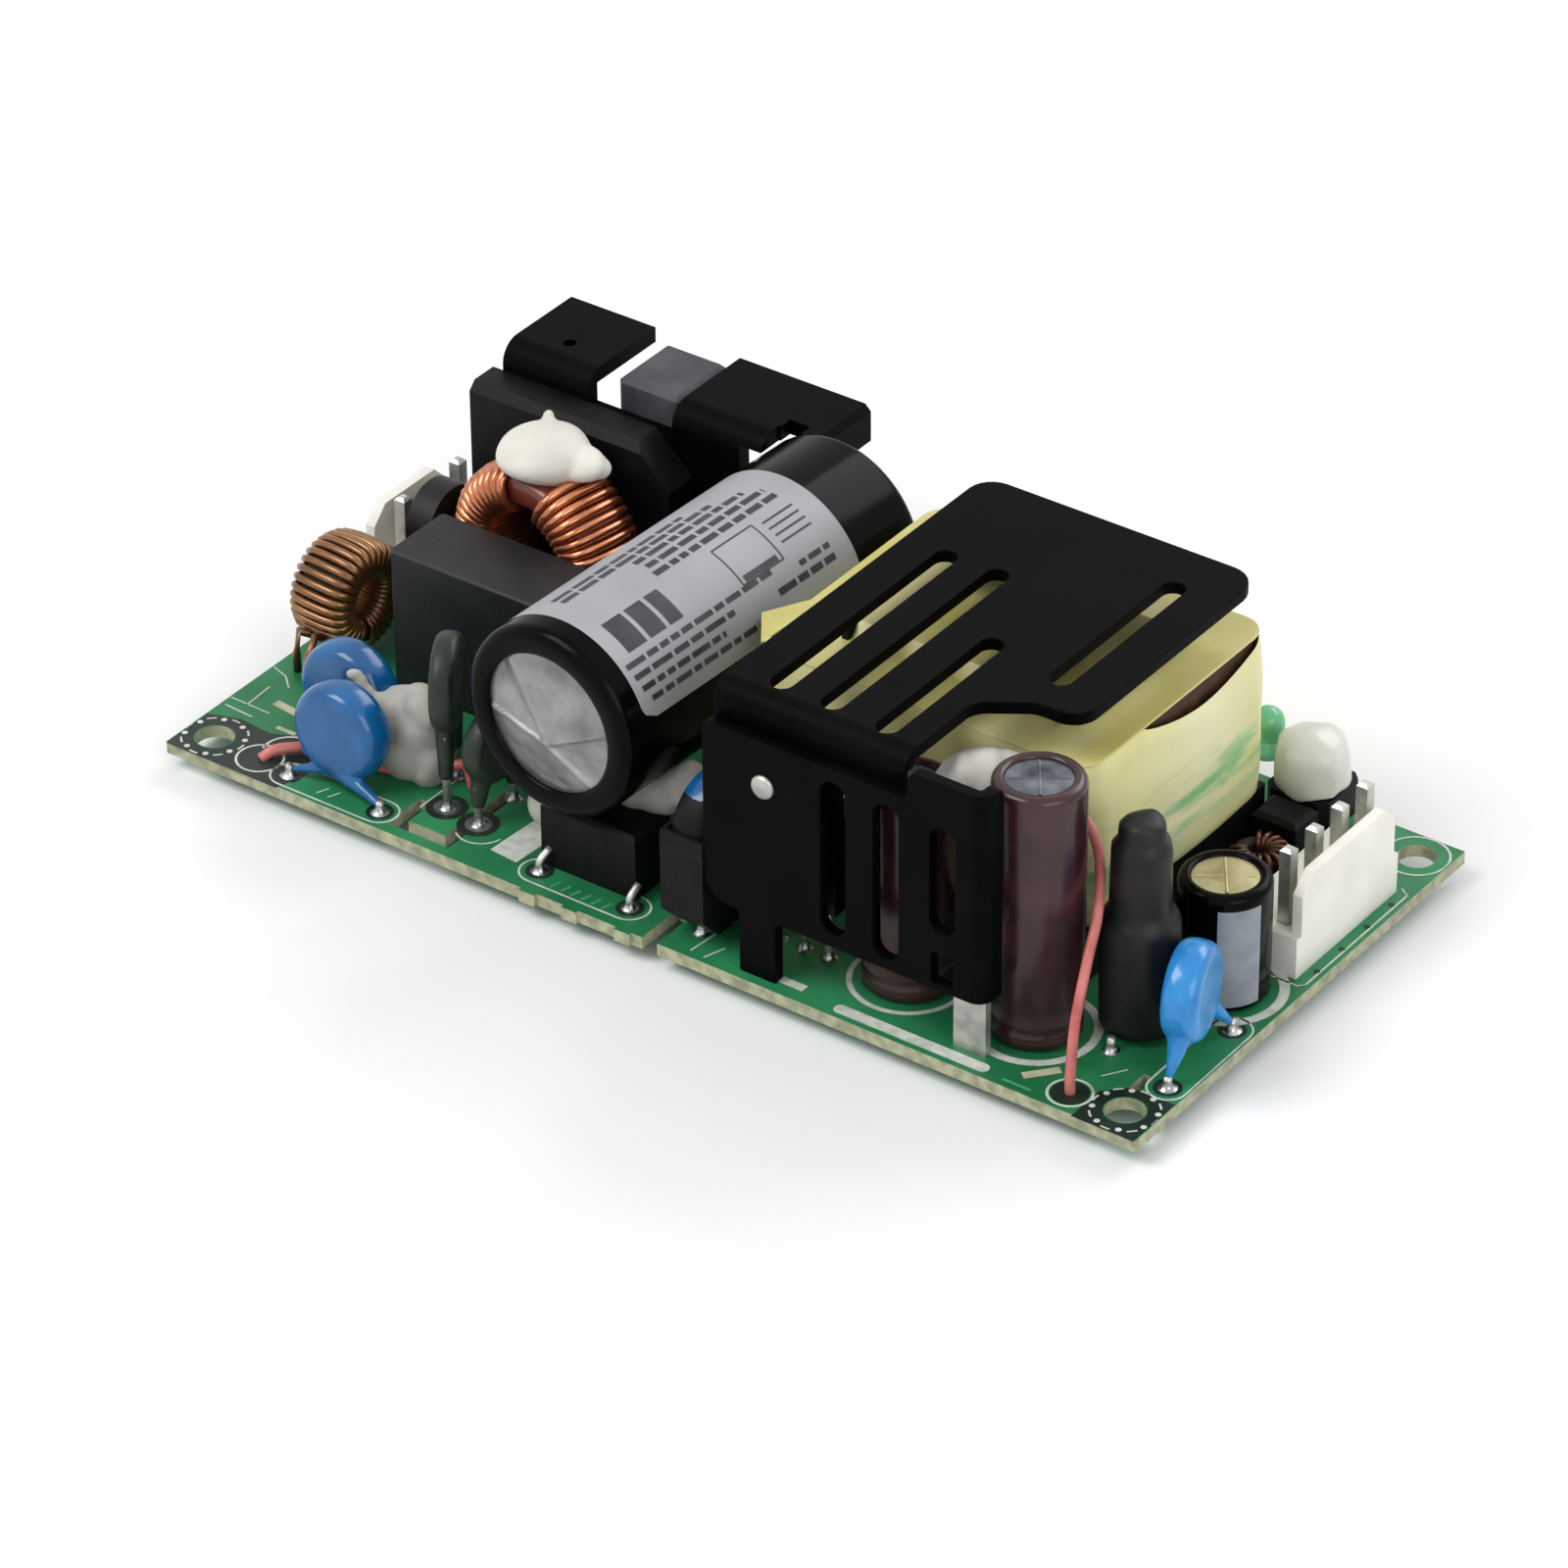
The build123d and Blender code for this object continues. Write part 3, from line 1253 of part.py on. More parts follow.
# Underside: control chip with its leads, and chip resistors
with BuildPart() as control_chip:
    with Locations((chip_x, chip_y, -chip_gap)):
        Box(chip_l, chip_w, chip_h, align=hang)
    chamfer(control_chip.faces().sort_by(Axis.Z)[0].edges(), chip_h / 5)
save(control_chip, "control_chip")
with BuildPart() as control_chip_leads:
    for side in (-1, 1):
        with Locations((chip_x, chip_y + side * (chip_w + chip_lead_out) / 2, 0)):
            with GridLocations(chip_pitch, 1, 4, 1):
                Box(chip_lead_w, chip_lead_out, chip_h / 2, align=hang)
save(control_chip_leads, "control_chip_leads")
with BuildPart() as chip_resistors:
    with Locations((resistors_x, resistors_y, 0)):
        with GridLocations(resistor_l + resistor_gap, resistor_w + resistor_gap, 2, 4):
            Box(resistor_l, resistor_w, resistor_h, align=hang)
save(chip_resistors, "chip_resistors")

# Plain leads of the parts that stand clear of the board
with BuildPart() as component_leads:
    for x, y, top, wide in leads:
        if top > 0:
            with Locations((x, y, board_t)):
                Box(wide, wide, top, align=stand)
save(component_leads, "component_leads")

# Solder joints: a pointed cone of solder under each lead
with BuildPart() as joint:
    with BuildSketch(Plane.XY):
        foot = Rectangle(pad_w, pad_w)
    loft(sections=[foot.face(), Vertex(0, 0, -pad_h)])
with BuildPart() as solder_joints:
    with Locations(*[(x, y, 0) for x, y, top, wide in leads] + [(x, y, 0) for x, y, wide in drillings]):
        add(joint.part)
save(solder_joints, "solder_joints")

# Circuit board
with BuildPart() as circuit_board:
    with BuildSketch() as outline:
        Rectangle(board_l, board_w)
        for at in nibs_at:
            with Locations((bulk_side + at, -board_w / 2)):
                Rectangle(nib_w, 2 * nib_h)
        with GridLocations(board_l - 2 * corner_hole_inset, board_w - 2 * corner_hole_inset, 2, 2):
            Circle(corner_hole_d / 2, mode=Mode.SUBTRACT)
        for x, y, long, wide in (
            (trafo_side + mid_slot_at, (mid_slot_l - board_w) / 2, mid_slot_w, mid_slot_l),
            (in_side + left_slot_at, left_slot_y, slot_w, left_slot_l),
            (in_side + front_slot_at, front_slot_y, front_slot_l, slot_w),
            (in_side + bulk_slot_at, bulk_slot_y, slot_w, bulk_slot_l),
            (out_side + end_slot_at, end_slot_y, end_slot_w, end_slot_l),
        ):
            with Locations((x, y)):
                Rectangle(long, wide, mode=Mode.SUBTRACT)
        for x, y, long, wide in foot_slots:
            with Locations((x, y)):
                Rectangle(long + 2 * drill_gap, wide + 2 * drill_gap, mode=Mode.SUBTRACT)
        for x, y, wide in pin_holes:
            with Locations((x, y)):
                Rectangle(wide + 2 * drill_gap, wide + 2 * drill_gap, mode=Mode.SUBTRACT)
    extrude(amount=board_t)
save(circuit_board, "circuit_board")
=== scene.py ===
import math
import random

import bmesh
import bpy
from mathutils import Matrix, Vector, noise


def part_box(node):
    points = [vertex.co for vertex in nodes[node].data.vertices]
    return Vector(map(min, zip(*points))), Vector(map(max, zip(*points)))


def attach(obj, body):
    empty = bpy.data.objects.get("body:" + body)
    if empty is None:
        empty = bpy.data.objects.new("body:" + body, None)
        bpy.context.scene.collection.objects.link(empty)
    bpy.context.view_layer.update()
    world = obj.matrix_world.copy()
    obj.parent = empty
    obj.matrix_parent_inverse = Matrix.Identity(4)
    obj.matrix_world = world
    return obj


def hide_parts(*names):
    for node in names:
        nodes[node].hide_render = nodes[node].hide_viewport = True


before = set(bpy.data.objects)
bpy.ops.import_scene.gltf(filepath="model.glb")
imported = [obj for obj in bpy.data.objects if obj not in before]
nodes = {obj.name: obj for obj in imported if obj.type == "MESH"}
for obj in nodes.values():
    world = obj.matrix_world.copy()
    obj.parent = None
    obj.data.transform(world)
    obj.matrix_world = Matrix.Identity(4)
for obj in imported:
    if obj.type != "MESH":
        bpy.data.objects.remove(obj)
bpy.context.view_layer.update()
MM = 0.001
TAU = 2 * math.pi
BOARD_TOP = 1.2


# Materials

def link(tree, a, b):
    tree.links.new(a, b)


def material(name, dark, light, rough=(0.4, 0.55), metal=0.0, scale=400.0, bump=0.05, coat=0.0,
             clear=0.0, stretch=(1, 1, 1), grain=0.0, sub=0.0, spec=0.5):
    """A surface whose colour, roughness and relief vary with noise in the object's own frame."""
    m = bpy.data.materials.new(name)
    m.use_nodes = True
    tree = m.node_tree
    shader = tree.nodes["Principled BSDF"]
    shader.inputs["Metallic"].default_value = metal
    shader.inputs["Specular IOR Level"].default_value = spec
    shader.inputs["Coat Weight"].default_value = coat
    shader.inputs["Coat Roughness"].default_value = 0.12
    shader.inputs["Transmission Weight"].default_value = clear
    shader.inputs["Subsurface Weight"].default_value = sub
    shader.inputs["Subsurface Radius"].default_value = (0.004, 0.004, 0.003)
    shader.inputs["Subsurface Scale"].default_value = 0.4
    coords = tree.nodes.new("ShaderNodeTexCoord")
    place = tree.nodes.new("ShaderNodeMapping")
    place.inputs["Scale"].default_value = stretch
    link(tree, coords.outputs["Object"], place.inputs["Vector"])
    broad = tree.nodes.new("ShaderNodeTexNoise")
    broad.inputs["Scale"].default_value = scale
    broad.inputs["Detail"].default_value = 4.0
    link(tree, place.outputs["Vector"], broad.inputs["Vector"])
    mix = tree.nodes.new("ShaderNodeValToRGB")
    mix.color_ramp.elements[0].position = 0.32
    mix.color_ramp.elements[0].color = (*dark, 1)
    mix.color_ramp.elements[1].position = 0.68
    mix.color_ramp.elements[1].color = (*light, 1)
    link(tree, broad.outputs["Fac"], mix.inputs["Fac"])
    link(tree, mix.outputs["Color"], shader.inputs["Base Color"])
    spread = tree.nodes.new("ShaderNodeMapRange")
    spread.inputs["To Min"].default_value = rough[0]
    spread.inputs["To Max"].default_value = rough[1]
    link(tree, broad.outputs["Fac"], spread.inputs["Value"])
    link(tree, spread.outputs["Result"], shader.inputs["Roughness"])
    fine = tree.nodes.new("ShaderNodeTexNoise")
    fine.inputs["Scale"].default_value = grain or scale * 5
    fine.inputs["Detail"].default_value = 3.0
    link(tree, place.outputs["Vector"], fine.inputs["Vector"])
    relief = tree.nodes.new("ShaderNodeBump")
    relief.inputs["Strength"].default_value = bump
    relief.inputs["Distance"].default_value = 0.0002
    link(tree, fine.outputs["Fac"], relief.inputs["Height"])
    link(tree, relief.outputs["Normal"], shader.inputs["Normal"])
    return m


def hexed(text):
    """A linear colour from a six-digit code."""
    parts = [int(text[i:i + 2], 16) / 255 for i in (0, 2, 4)]
    return tuple(p / 12.92 if p <= 0.04045 else ((p + 0.055) / 1.055) ** 2.4 for p in parts)


def by_height(m, side_dark, side_light):
    """Gives the faces that look sideways their own colour, as on the cut edge of a board."""
    tree = m.node_tree
    shader = tree.nodes["Principled BSDF"]
    top = shader.inputs["Base Color"].links[0].from_socket
    geometry = tree.nodes.new("ShaderNodeNewGeometry")
    split = tree.nodes.new("ShaderNodeSeparateXYZ")
    link(tree, geometry.outputs["True Normal"], split.inputs["Vector"])
    size = tree.nodes.new("ShaderNodeMath")
    size.operation = "ABSOLUTE"
    link(tree, split.outputs["Z"], size.inputs[0])
    test = tree.nodes.new("ShaderNodeMath")
    test.operation = "GREATER_THAN"
    test.inputs[1].default_value = 0.5
    link(tree, size.outputs[0], test.inputs[0])
    layers = tree.nodes.new("ShaderNodeTexNoise")
    layers.inputs["Scale"].default_value = 900.0
    coords = tree.nodes.new("ShaderNodeTexCoord")
    link(tree, coords.outputs["Object"], layers.inputs["Vector"])
    ramp = tree.nodes.new("ShaderNodeValToRGB")
    ramp.color_ramp.elements[0].position = 0.35
    ramp.color_ramp.elements[0].color = (*side_dark, 1)
    ramp.color_ramp.elements[1].position = 0.65
    ramp.color_ramp.elements[1].color = (*side_light, 1)
    link(tree, layers.outputs["Fac"], ramp.inputs["Fac"])
    blend = tree.nodes.new("ShaderNodeMix")
    blend.data_type = "RGBA"
    link(tree, test.outputs[0], blend.inputs["Factor"])
    link(tree, ramp.outputs["Color"], blend.inputs["A"])
    link(tree, top, blend.inputs["B"])
    link(tree, blend.outputs["Result"], shader.inputs["Base Color"])


board_mat = material("board_green", hexed("1f6b41"), hexed("2f8a58"), (0.3, 0.45), scale=110, bump=0.05, spec=0.3)
by_height(board_mat, hexed("8c8f74"), hexed("b4b596"))


def streaks_on_side(m, tint, low, high, face_x):
    """Lets faint streaks of another colour show on one side, between two heights in metres."""
    tree = m.node_tree
    shader = tree.nodes["Principled BSDF"]
    base = shader.inputs["Base Color"].links[0].from_socket
    coords = tree.nodes.new("ShaderNodeTexCoord")
    split = tree.nodes.new("ShaderNodeSeparateXYZ")
    link(tree, coords.outputs["Object"], split.inputs["Vector"])

    def window(socket, start, end, rise):
        ramp = tree.nodes.new("ShaderNodeMapRange")
        ramp.interpolation_type = "SMOOTHSTEP"
        ramp.inputs["From Min"].default_value = start
        ramp.inputs["From Max"].default_value = end
        ramp.inputs["To Min"].default_value = 0.0 if rise else 1.0
        ramp.inputs["To Max"].default_value = 1.0 if rise else 0.0
        link(tree, socket, ramp.inputs["Value"])
        return ramp.outputs["Result"]

    def times(a, b):
        product = tree.nodes.new("ShaderNodeMath")
        product.operation = "MULTIPLY"
        link(tree, a, product.inputs[0])
        if hasattr(b, "node"):
            link(tree, b, product.inputs[1])
        else:
            product.inputs[1].default_value = b
        return product.outputs[0]

    middle = (low + high) / 2
    place = tree.nodes.new("ShaderNodeMapping")
    place.inputs["Rotation"].default_value = (math.radians(35), 0, 0)
    place.inputs["Scale"].default_value = (1, 0.35, 1.6)
    link(tree, coords.outputs["Object"], place.inputs["Vector"])
    streak = tree.nodes.new("ShaderNodeTexNoise")
    streak.inputs["Scale"].default_value = 330.0
    streak.inputs["Detail"].default_value = 3.0
    link(tree, place.outputs["Vector"], streak.inputs["Vector"])
    mask = times(window(split.outputs["Z"], low, middle, True), window(split.outputs["Z"], middle, high, False))
    mask = times(mask, window(split.outputs["X"], face_x - 0.0006, face_x, True))
    mask = times(mask, window(streak.outputs["Fac"], 0.42, 0.6, True))
    blend = tree.nodes.new("ShaderNodeMix")
    blend.data_type = "RGBA"
    blend.inputs["B"].default_value = (*tint, 1)
    link(tree, times(mask, 0.85), blend.inputs["Factor"])
    link(tree, base, blend.inputs["A"])
    link(tree, blend.outputs["Result"], shader.inputs["Base Color"])


MATS = {
    "board": board_mat,
    "print": material("white_print", hexed("b7beb4"), hexed("dadfd6"), (0.5, 0.7), scale=900, bump=0.1),
    "bare_mask": material("mask_dark", hexed("16221b"), hexed("24342a"), (0.3, 0.45), scale=200, bump=0.06, spec=0.3),
    "trace": material("trace_green", hexed("3a8f63"), hexed("5aa97c"), (0.25, 0.4), scale=200, bump=0.05),
    "pad": material("pad_grey", hexed("3b3d3b"), hexed("6b6d69"), (0.3, 0.45), scale=500, bump=0.15, spec=0.4),
    "cream": material("laminate_cream", hexed("a9a684"), hexed("cfcbab"), (0.5, 0.7), scale=700, bump=0.15),
    "solder": material("solder", hexed("8e9192"), hexed("c4c6c6"), (0.22, 0.38), metal=1.0, scale=700,
                       bump=0.25),
    "tinned": material("tinned", hexed("9a9a95"), hexed("cfcec6"), (0.3, 0.45), metal=0.75, scale=500,
                       bump=0.15),
    "header_plastic": material("header_white", hexed("e6e4da"), hexed("f4f2eb"), (0.42, 0.55), scale=200,
                               bump=0.04, sub=0.12),
    "shrink_sleeve": material("shrink_black", hexed("0a0a0a"), hexed("171716"), (0.4, 0.55), scale=300,
                              bump=0.3, grain=700, spec=0.3),
    "fuse_sleeve": material("fuse_black", hexed("0d0d0d"), hexed("1a1a1a"), (0.4, 0.55), scale=300, bump=0.2,
                            spec=0.25),
    "ring_core": material("core_dark", hexed("1c120c"), hexed("30201a"), (0.5, 0.65), scale=500, bump=0.2,
                          spec=0.25),
    "gold_wire": material("enamel_gold", hexed("5a3118"), hexed("93683a"), (0.24, 0.36), metal=0.7, scale=220,
                          bump=0.06, coat=0.5),
    "copper_wire": material("enamel_copper", hexed("a2532e"), hexed("dd8f64"), (0.2, 0.32), metal=0.85,
                            scale=260, bump=0.06, coat=0.6),
    "dark_moulding": material("moulding", hexed("080809"), hexed("121213"), (0.42, 0.55), scale=420, bump=0.15,
                              grain=2600, spec=0.13),
    "grey_moulding": material("grey_box", hexed("18191b"), hexed("222325"), (0.38, 0.5), scale=200, bump=0.12,
                              grain=2400, spec=0.24),
    "choke_core_paint": material("core_red", hexed("4d1c14"), hexed("7a3020"), (0.3, 0.42), scale=300, bump=0.1,
                                 coat=0.3),
    "sealant": material("sealant_white", hexed("c9c7be"), hexed("e2e0d6"), (0.42, 0.6), scale=180, bump=0.2,
                        grain=600, sub=0.2, spec=0.35),
    # Darker copy of the white sealant: painted shade for the lumps under the bulk can and on the left.
    "sealant_painted_shade": material("sealant_grey_painted_shade", hexed("a19f97"), hexed("bfbdb4"), (0.45, 0.6), scale=180, bump=0.12,
                             grain=600, sub=0.1, spec=0.3),
    "milky_sealant": material("sealant_milky", hexed("e2e3d8"), hexed("eeefe6"), (0.24, 0.32), scale=200,
                              bump=0.03, clear=0.1, sub=0.3),
    "black_anodised": material("sheet_black", hexed("020202"), hexed("070707"), (0.42, 0.55), scale=160,
                               bump=0.06, grain=1600, spec=0.035),
    "grey_rubber": material("rubber_grey", hexed("33343a"), hexed("4b4c50"), (0.5, 0.62), scale=240, bump=0.12,
                            spec=0.3),
    "black_sleeve": material("sleeve_black", hexed("030303"), hexed("080808"), (0.14, 0.2), scale=220,
                             bump=0.03, spec=0.06),
    "label_grey": material("label_silver", hexed("929397"), hexed("a6a7ab"), (0.4, 0.5), metal=0.1,
                           scale=60, bump=0.03, spec=0.35),
    "mark_dark": material("label_mark", hexed("2a2b2e"), hexed("404145"), (0.4, 0.5), scale=400, bump=0.05,
                          spec=0.25),
    "bare_aluminium": material("aluminium", hexed("737474"), hexed("9fa0a0"), (0.38, 0.52), metal=0.75,
                               scale=260, bump=0.25, stretch=(1, 3, 1)),
    "blue_coating": material("disc_blue", hexed("0a4a7c"), hexed("11619b"), (0.14, 0.22), scale=300, bump=0.04,
                             grain=900, spec=0.5),
    "blue_bright": material("disc_bright_blue", hexed("1b76bd"), hexed("2f8fd3"), (0.14, 0.22), scale=300,
                            bump=0.04, grain=900, spec=0.5),
    "green_coating": material("disc_green", hexed("182019"), hexed("29332b"), (0.34, 0.5), scale=420, bump=0.12,
                              spec=0.3),
    "ferrite": material("ferrite", hexed("24160c"), hexed("4a3018"), (0.5, 0.65), scale=500, bump=0.2, spec=0.3),
    "yellow_tape": material("tape_yellow", hexed("c9bf66"), hexed("e4dca0"), (0.24, 0.4), scale=70, bump=0.25,
                            grain=260, sub=0.1),
    "tape_outer": material("tape_pale", hexed("dfd98c"), hexed("f0edbf"), (0.26, 0.42), scale=60, bump=0.25,
                           grain=260, sub=0.1),
    "brown_sleeve": material("sleeve_brown", hexed("2a1518"), hexed("43262a"), (0.18, 0.3), scale=200,
                             bump=0.06, spec=0.4),
    "stripe": material("stripe_grey", hexed("7d848c"), hexed("9ba2aa"), (0.35, 0.46), scale=300, bump=0.05),
    "cap_end": material("end_grey", hexed("3b4046"), hexed("767d84"), (0.26, 0.4), metal=0.8, scale=420,
                        bump=0.2),
    "dark_wire": material("enamel_dark", hexed("2c1712"), hexed("693a26"), (0.26, 0.4), metal=0.6, scale=300,
                          bump=0.06, coat=0.4),
    "gold_top": material("top_gold", hexed("9c9263"), hexed("c8c096"), (0.3, 0.45), metal=0.7, scale=300,
                         bump=0.15),
    "green_lens": material("lens_green", hexed("3fae72"), hexed("7fd6a0"), (0.1, 0.2), scale=200, bump=0.03,
                           clear=0.2),
    "red_insulation": material("wire_red", hexed("ae524d"), hexed("d6817a"), (0.3, 0.42), scale=300, bump=0.08),
    "ceramic_chip": material("chip_black", hexed("101011"), hexed("26272a"), (0.35, 0.5), scale=900, bump=0.15),
}
# Green streaks on the right side of the tape band, between 6.8 and 16.6 mm up.
streaks_on_side(MATS["tape_outer"], hexed("6fc584"), 0.0068, 0.0166, 0.0350)


# Pieces

def finish_piece(obj, look, replaces=(), smooth=True, extra=()):
    """Puts a new piece on the body, with its looks and the nodes it stands for."""
    for one in (look, *extra):
        obj.data.materials.append(MATS[one])
    if smooth and obj.type == "MESH":
        for face in obj.data.polygons:
            face.use_smooth = True
    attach(obj, "root")
    if replaces:
        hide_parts(*replaces)
    return obj


def mesh_piece(name, bm):
    bmesh.ops.remove_doubles(bm, verts=bm.verts, dist=1e-7)
    bmesh.ops.recalc_face_normals(bm, faces=bm.faces)
    data = bpy.data.meshes.new(name)
    bm.to_mesh(data)
    bm.free()
    obj = bpy.data.objects.new(name, data)
    bpy.context.scene.collection.objects.link(obj)
    return obj


def bevel(obj, width, segments=3, angle=35):
    b = obj.modifiers.new("edge", "BEVEL")
    b.width = width * MM
    b.segments = segments
    b.limit_method = "ANGLE"
    b.angle_limit = math.radians(angle)
    b.harden_normals = False
    w = obj.modifiers.new("shade", "WEIGHTED_NORMAL")
    w.keep_sharp = True


def add_tube(bm, points, radius, sides=10, closed=False, index=0):
    """A round tube through points in millimetres; radius is one number or one for each point."""
    pts = [Vector(p) for p in points]
    n = len(pts)
    radii = radius if isinstance(radius, (list, tuple)) else [radius] * n
    rings = []
    turn = None
    for i, p in enumerate(pts):
        ahead = pts[(i + 1) % n] if closed or i < n - 1 else p
        behind = pts[i - 1] if closed or i > 0 else p
        way = (ahead - behind).normalized()
        if turn is None:
            seed = Vector((0, 0, 1)) if abs(way.z) < 0.9 else Vector((1, 0, 0))
            turn = way.cross(seed).normalized()
        turn = (turn - way * turn.dot(way)).normalized()
        other = way.cross(turn)
        rings.append([
            bm.verts.new((p + radii[i] * (math.cos(TAU * k / sides) * turn + math.sin(TAU * k / sides) * other)) * MM)
            for k in range(sides)
        ])
    for i in range(n if closed else n - 1):
        a, b = rings[i], rings[(i + 1) % n]
        for k in range(sides):
            f = bm.faces.new((a[k], a[(k + 1) % sides], b[(k + 1) % sides], b[k]))
            f.material_index = index
    if not closed:
        for ring, flip in ((rings[0], True), (rings[-1], False)):
            f = bm.faces.new(list(reversed(ring)) if flip else ring)
            f.material_index = index


def smooth_path(points, steps=6):
    """A Catmull-Rom curve through points."""
    p = [Vector(q) for q in points]
    p = [2 * p[0] - p[1]] + p + [2 * p[-1] - p[-2]]
    out = []
    for i in range(1, len(p) - 2):
        for s in range(steps):
            t = s / steps
            out.append(0.5 * (2 * p[i] + (p[i + 1] - p[i - 1]) * t
                              + (2 * p[i - 1] - 5 * p[i] + 4 * p[i + 1] - p[i + 2]) * t * t
                              + (3 * p[i] - p[i - 1] - 3 * p[i + 1] + p[i + 2]) * t ** 3))
    out.append(p[-2])
    return out


def add_lathe(bm, profile, centre, axis=(0, 0, 1), sides=48, index=0, marks=None):
    """A turned body: profile holds (radius, distance along the axis); marks gives faces a material."""
    axis = Vector(axis).normalized()
    seed = Vector((1, 0, 0)) if abs(axis.x) < 0.9 else Vector((0, 1, 0))
    u = axis.cross(seed).normalized()
    v = axis.cross(u)
    c = Vector(centre)
    rings = []
    for r, h in profile:
        if r < 1e-6:
            rings.append([bm.verts.new((c + axis * h) * MM)])
        else:
            rings.append([
                bm.verts.new((c + axis * h + r * (math.cos(TAU * k / sides) * u + math.sin(TAU * k / sides) * v)) * MM)
                for k in range(sides)
            ])
    for i in range(len(rings) - 1):
        a, b = rings[i], rings[i + 1]
        for k in range(sides):
            corners = [a[k % len(a)], a[(k + 1) % len(a)], b[(k + 1) % len(b)], b[k % len(b)]]
            corners = list(dict.fromkeys(corners))
            if len(corners) > 2:
                f = bm.faces.new(corners)
                f.material_index = marks[i] if marks else index


def arc(cx, cy, r, start, end, n=5):
    """Points of an arc in a profile, angles in degrees."""
    return [(cx + r * math.cos(math.radians(start + (end - start) * i / n)),
             cy + r * math.sin(math.radians(start + (end - start) * i / n))) for i in range(n + 1)]


def rounded(corners, steps=6):
    """A closed outline from corners given as x, y and corner radius."""
    out = []
    n = len(corners)
    for i, (x, y, r) in enumerate(corners):
        p = Vector((x, y))
        before = (Vector(corners[i - 1][:2]) - p).normalized()
        after = (Vector(corners[(i + 1) % n][:2]) - p).normalized()
        if r <= 0:
            out.append(p)
            continue
        half = before.angle(after) / 2
        reach = r / math.tan(half)
        middle = p + (before + after).normalized() * r / math.sin(half)
        first, last = p + before * reach - middle, p + after * reach - middle
        turn = first.angle_signed(last)
        for k in range(steps + 1):
            a = -turn * k / steps
            out.append(middle + Vector((first.x * math.cos(a) - first.y * math.sin(a),
                                        first.x * math.sin(a) + first.y * math.cos(a))))
    return out


def capsule(x, low, high, width, steps=10):
    """A slot with round ends that runs along the second axis."""
    r = width / 2
    ends = [(x + r * math.cos(math.pi * k / steps), high - r + r * math.sin(math.pi * k / steps))
            for k in range(steps + 1)]
    ends += [(x - r * math.cos(math.pi * k / steps), low + r - r * math.sin(math.pi * k / steps))
             for k in range(steps + 1)]
    return ends


def circle(x, y, r, steps=32):
    return [(x + r * math.cos(TAU * k / steps), y + r * math.sin(TAU * k / steps)) for k in range(steps)]


def filled(loops, thick=0.0, rim=0.0):
    """A flat plate in the first two axes with holes, as a mesh; sizes in millimetres."""
    curve = bpy.data.curves.new("outline", "CURVE")
    curve.dimensions = "2D"
    curve.fill_mode = "BOTH" if thick else "FRONT"
    curve.extrude = max(thick / 2 - rim, 0) * MM
    curve.bevel_depth = rim * MM
    curve.bevel_resolution = 2
    curve.offset = -rim * MM
    for loop in loops:
        spline = curve.splines.new("POLY")
        spline.points.add(len(loop) - 1)
        for point, (x, y) in zip(spline.points, loop):
            point.co = (x * MM, y * MM, 0, 1)
        spline.use_cyclic_u = True
    holder = bpy.data.objects.new("outline", curve)
    bpy.context.scene.collection.objects.link(holder)
    graph = bpy.context.evaluated_depsgraph_get()
    made = bpy.data.meshes.new_from_object(holder.evaluated_get(graph))
    bpy.data.objects.remove(holder)
    bpy.data.curves.remove(curve)
    return made


def bent_sheet(name, loops, thick, rim, line, radius, place, look, replaces, along=1):
    """A punched sheet, bent a quarter turn past a line across the first or second axis."""
    bm = bmesh.new()
    bm.from_mesh(filled(loops, thick, rim))
    bmesh.ops.remove_doubles(bm, verts=bm.verts, dist=2e-6)
    sign = 1 if radius > 0 else -1
    mid = abs(radius)
    normal = Vector((1, 0, 0)) if along == 0 else Vector((0, 1, 0))
    for k in range(9):
        offset = line - sign * mid * math.pi / 2 * k / 8
        geometry = bm.verts[:] + bm.edges[:] + bm.faces[:]
        bmesh.ops.bisect_plane(bm, geom=geometry, dist=1e-7, plane_co=normal * offset * MM, plane_no=normal)
    for v in bm.verts:
        p = [c / MM for c in v.co]
        past = (line - p[along]) * sign
        if past > 0:
            reach = mid * math.pi / 2
            turn = min(past, reach) / mid
            p[along] = line - sign * (mid + p[2]) * math.sin(turn)
            p[2] = -mid + (mid + p[2]) * math.cos(turn) - max(past - reach, 0)
        v.co = place @ Vector(p) * MM
    obj = mesh_piece(name, bm)
    w = obj.modifiers.new("shade", "WEIGHTED_NORMAL")
    w.keep_sharp = True
    return finish_piece(obj, look, replaces)


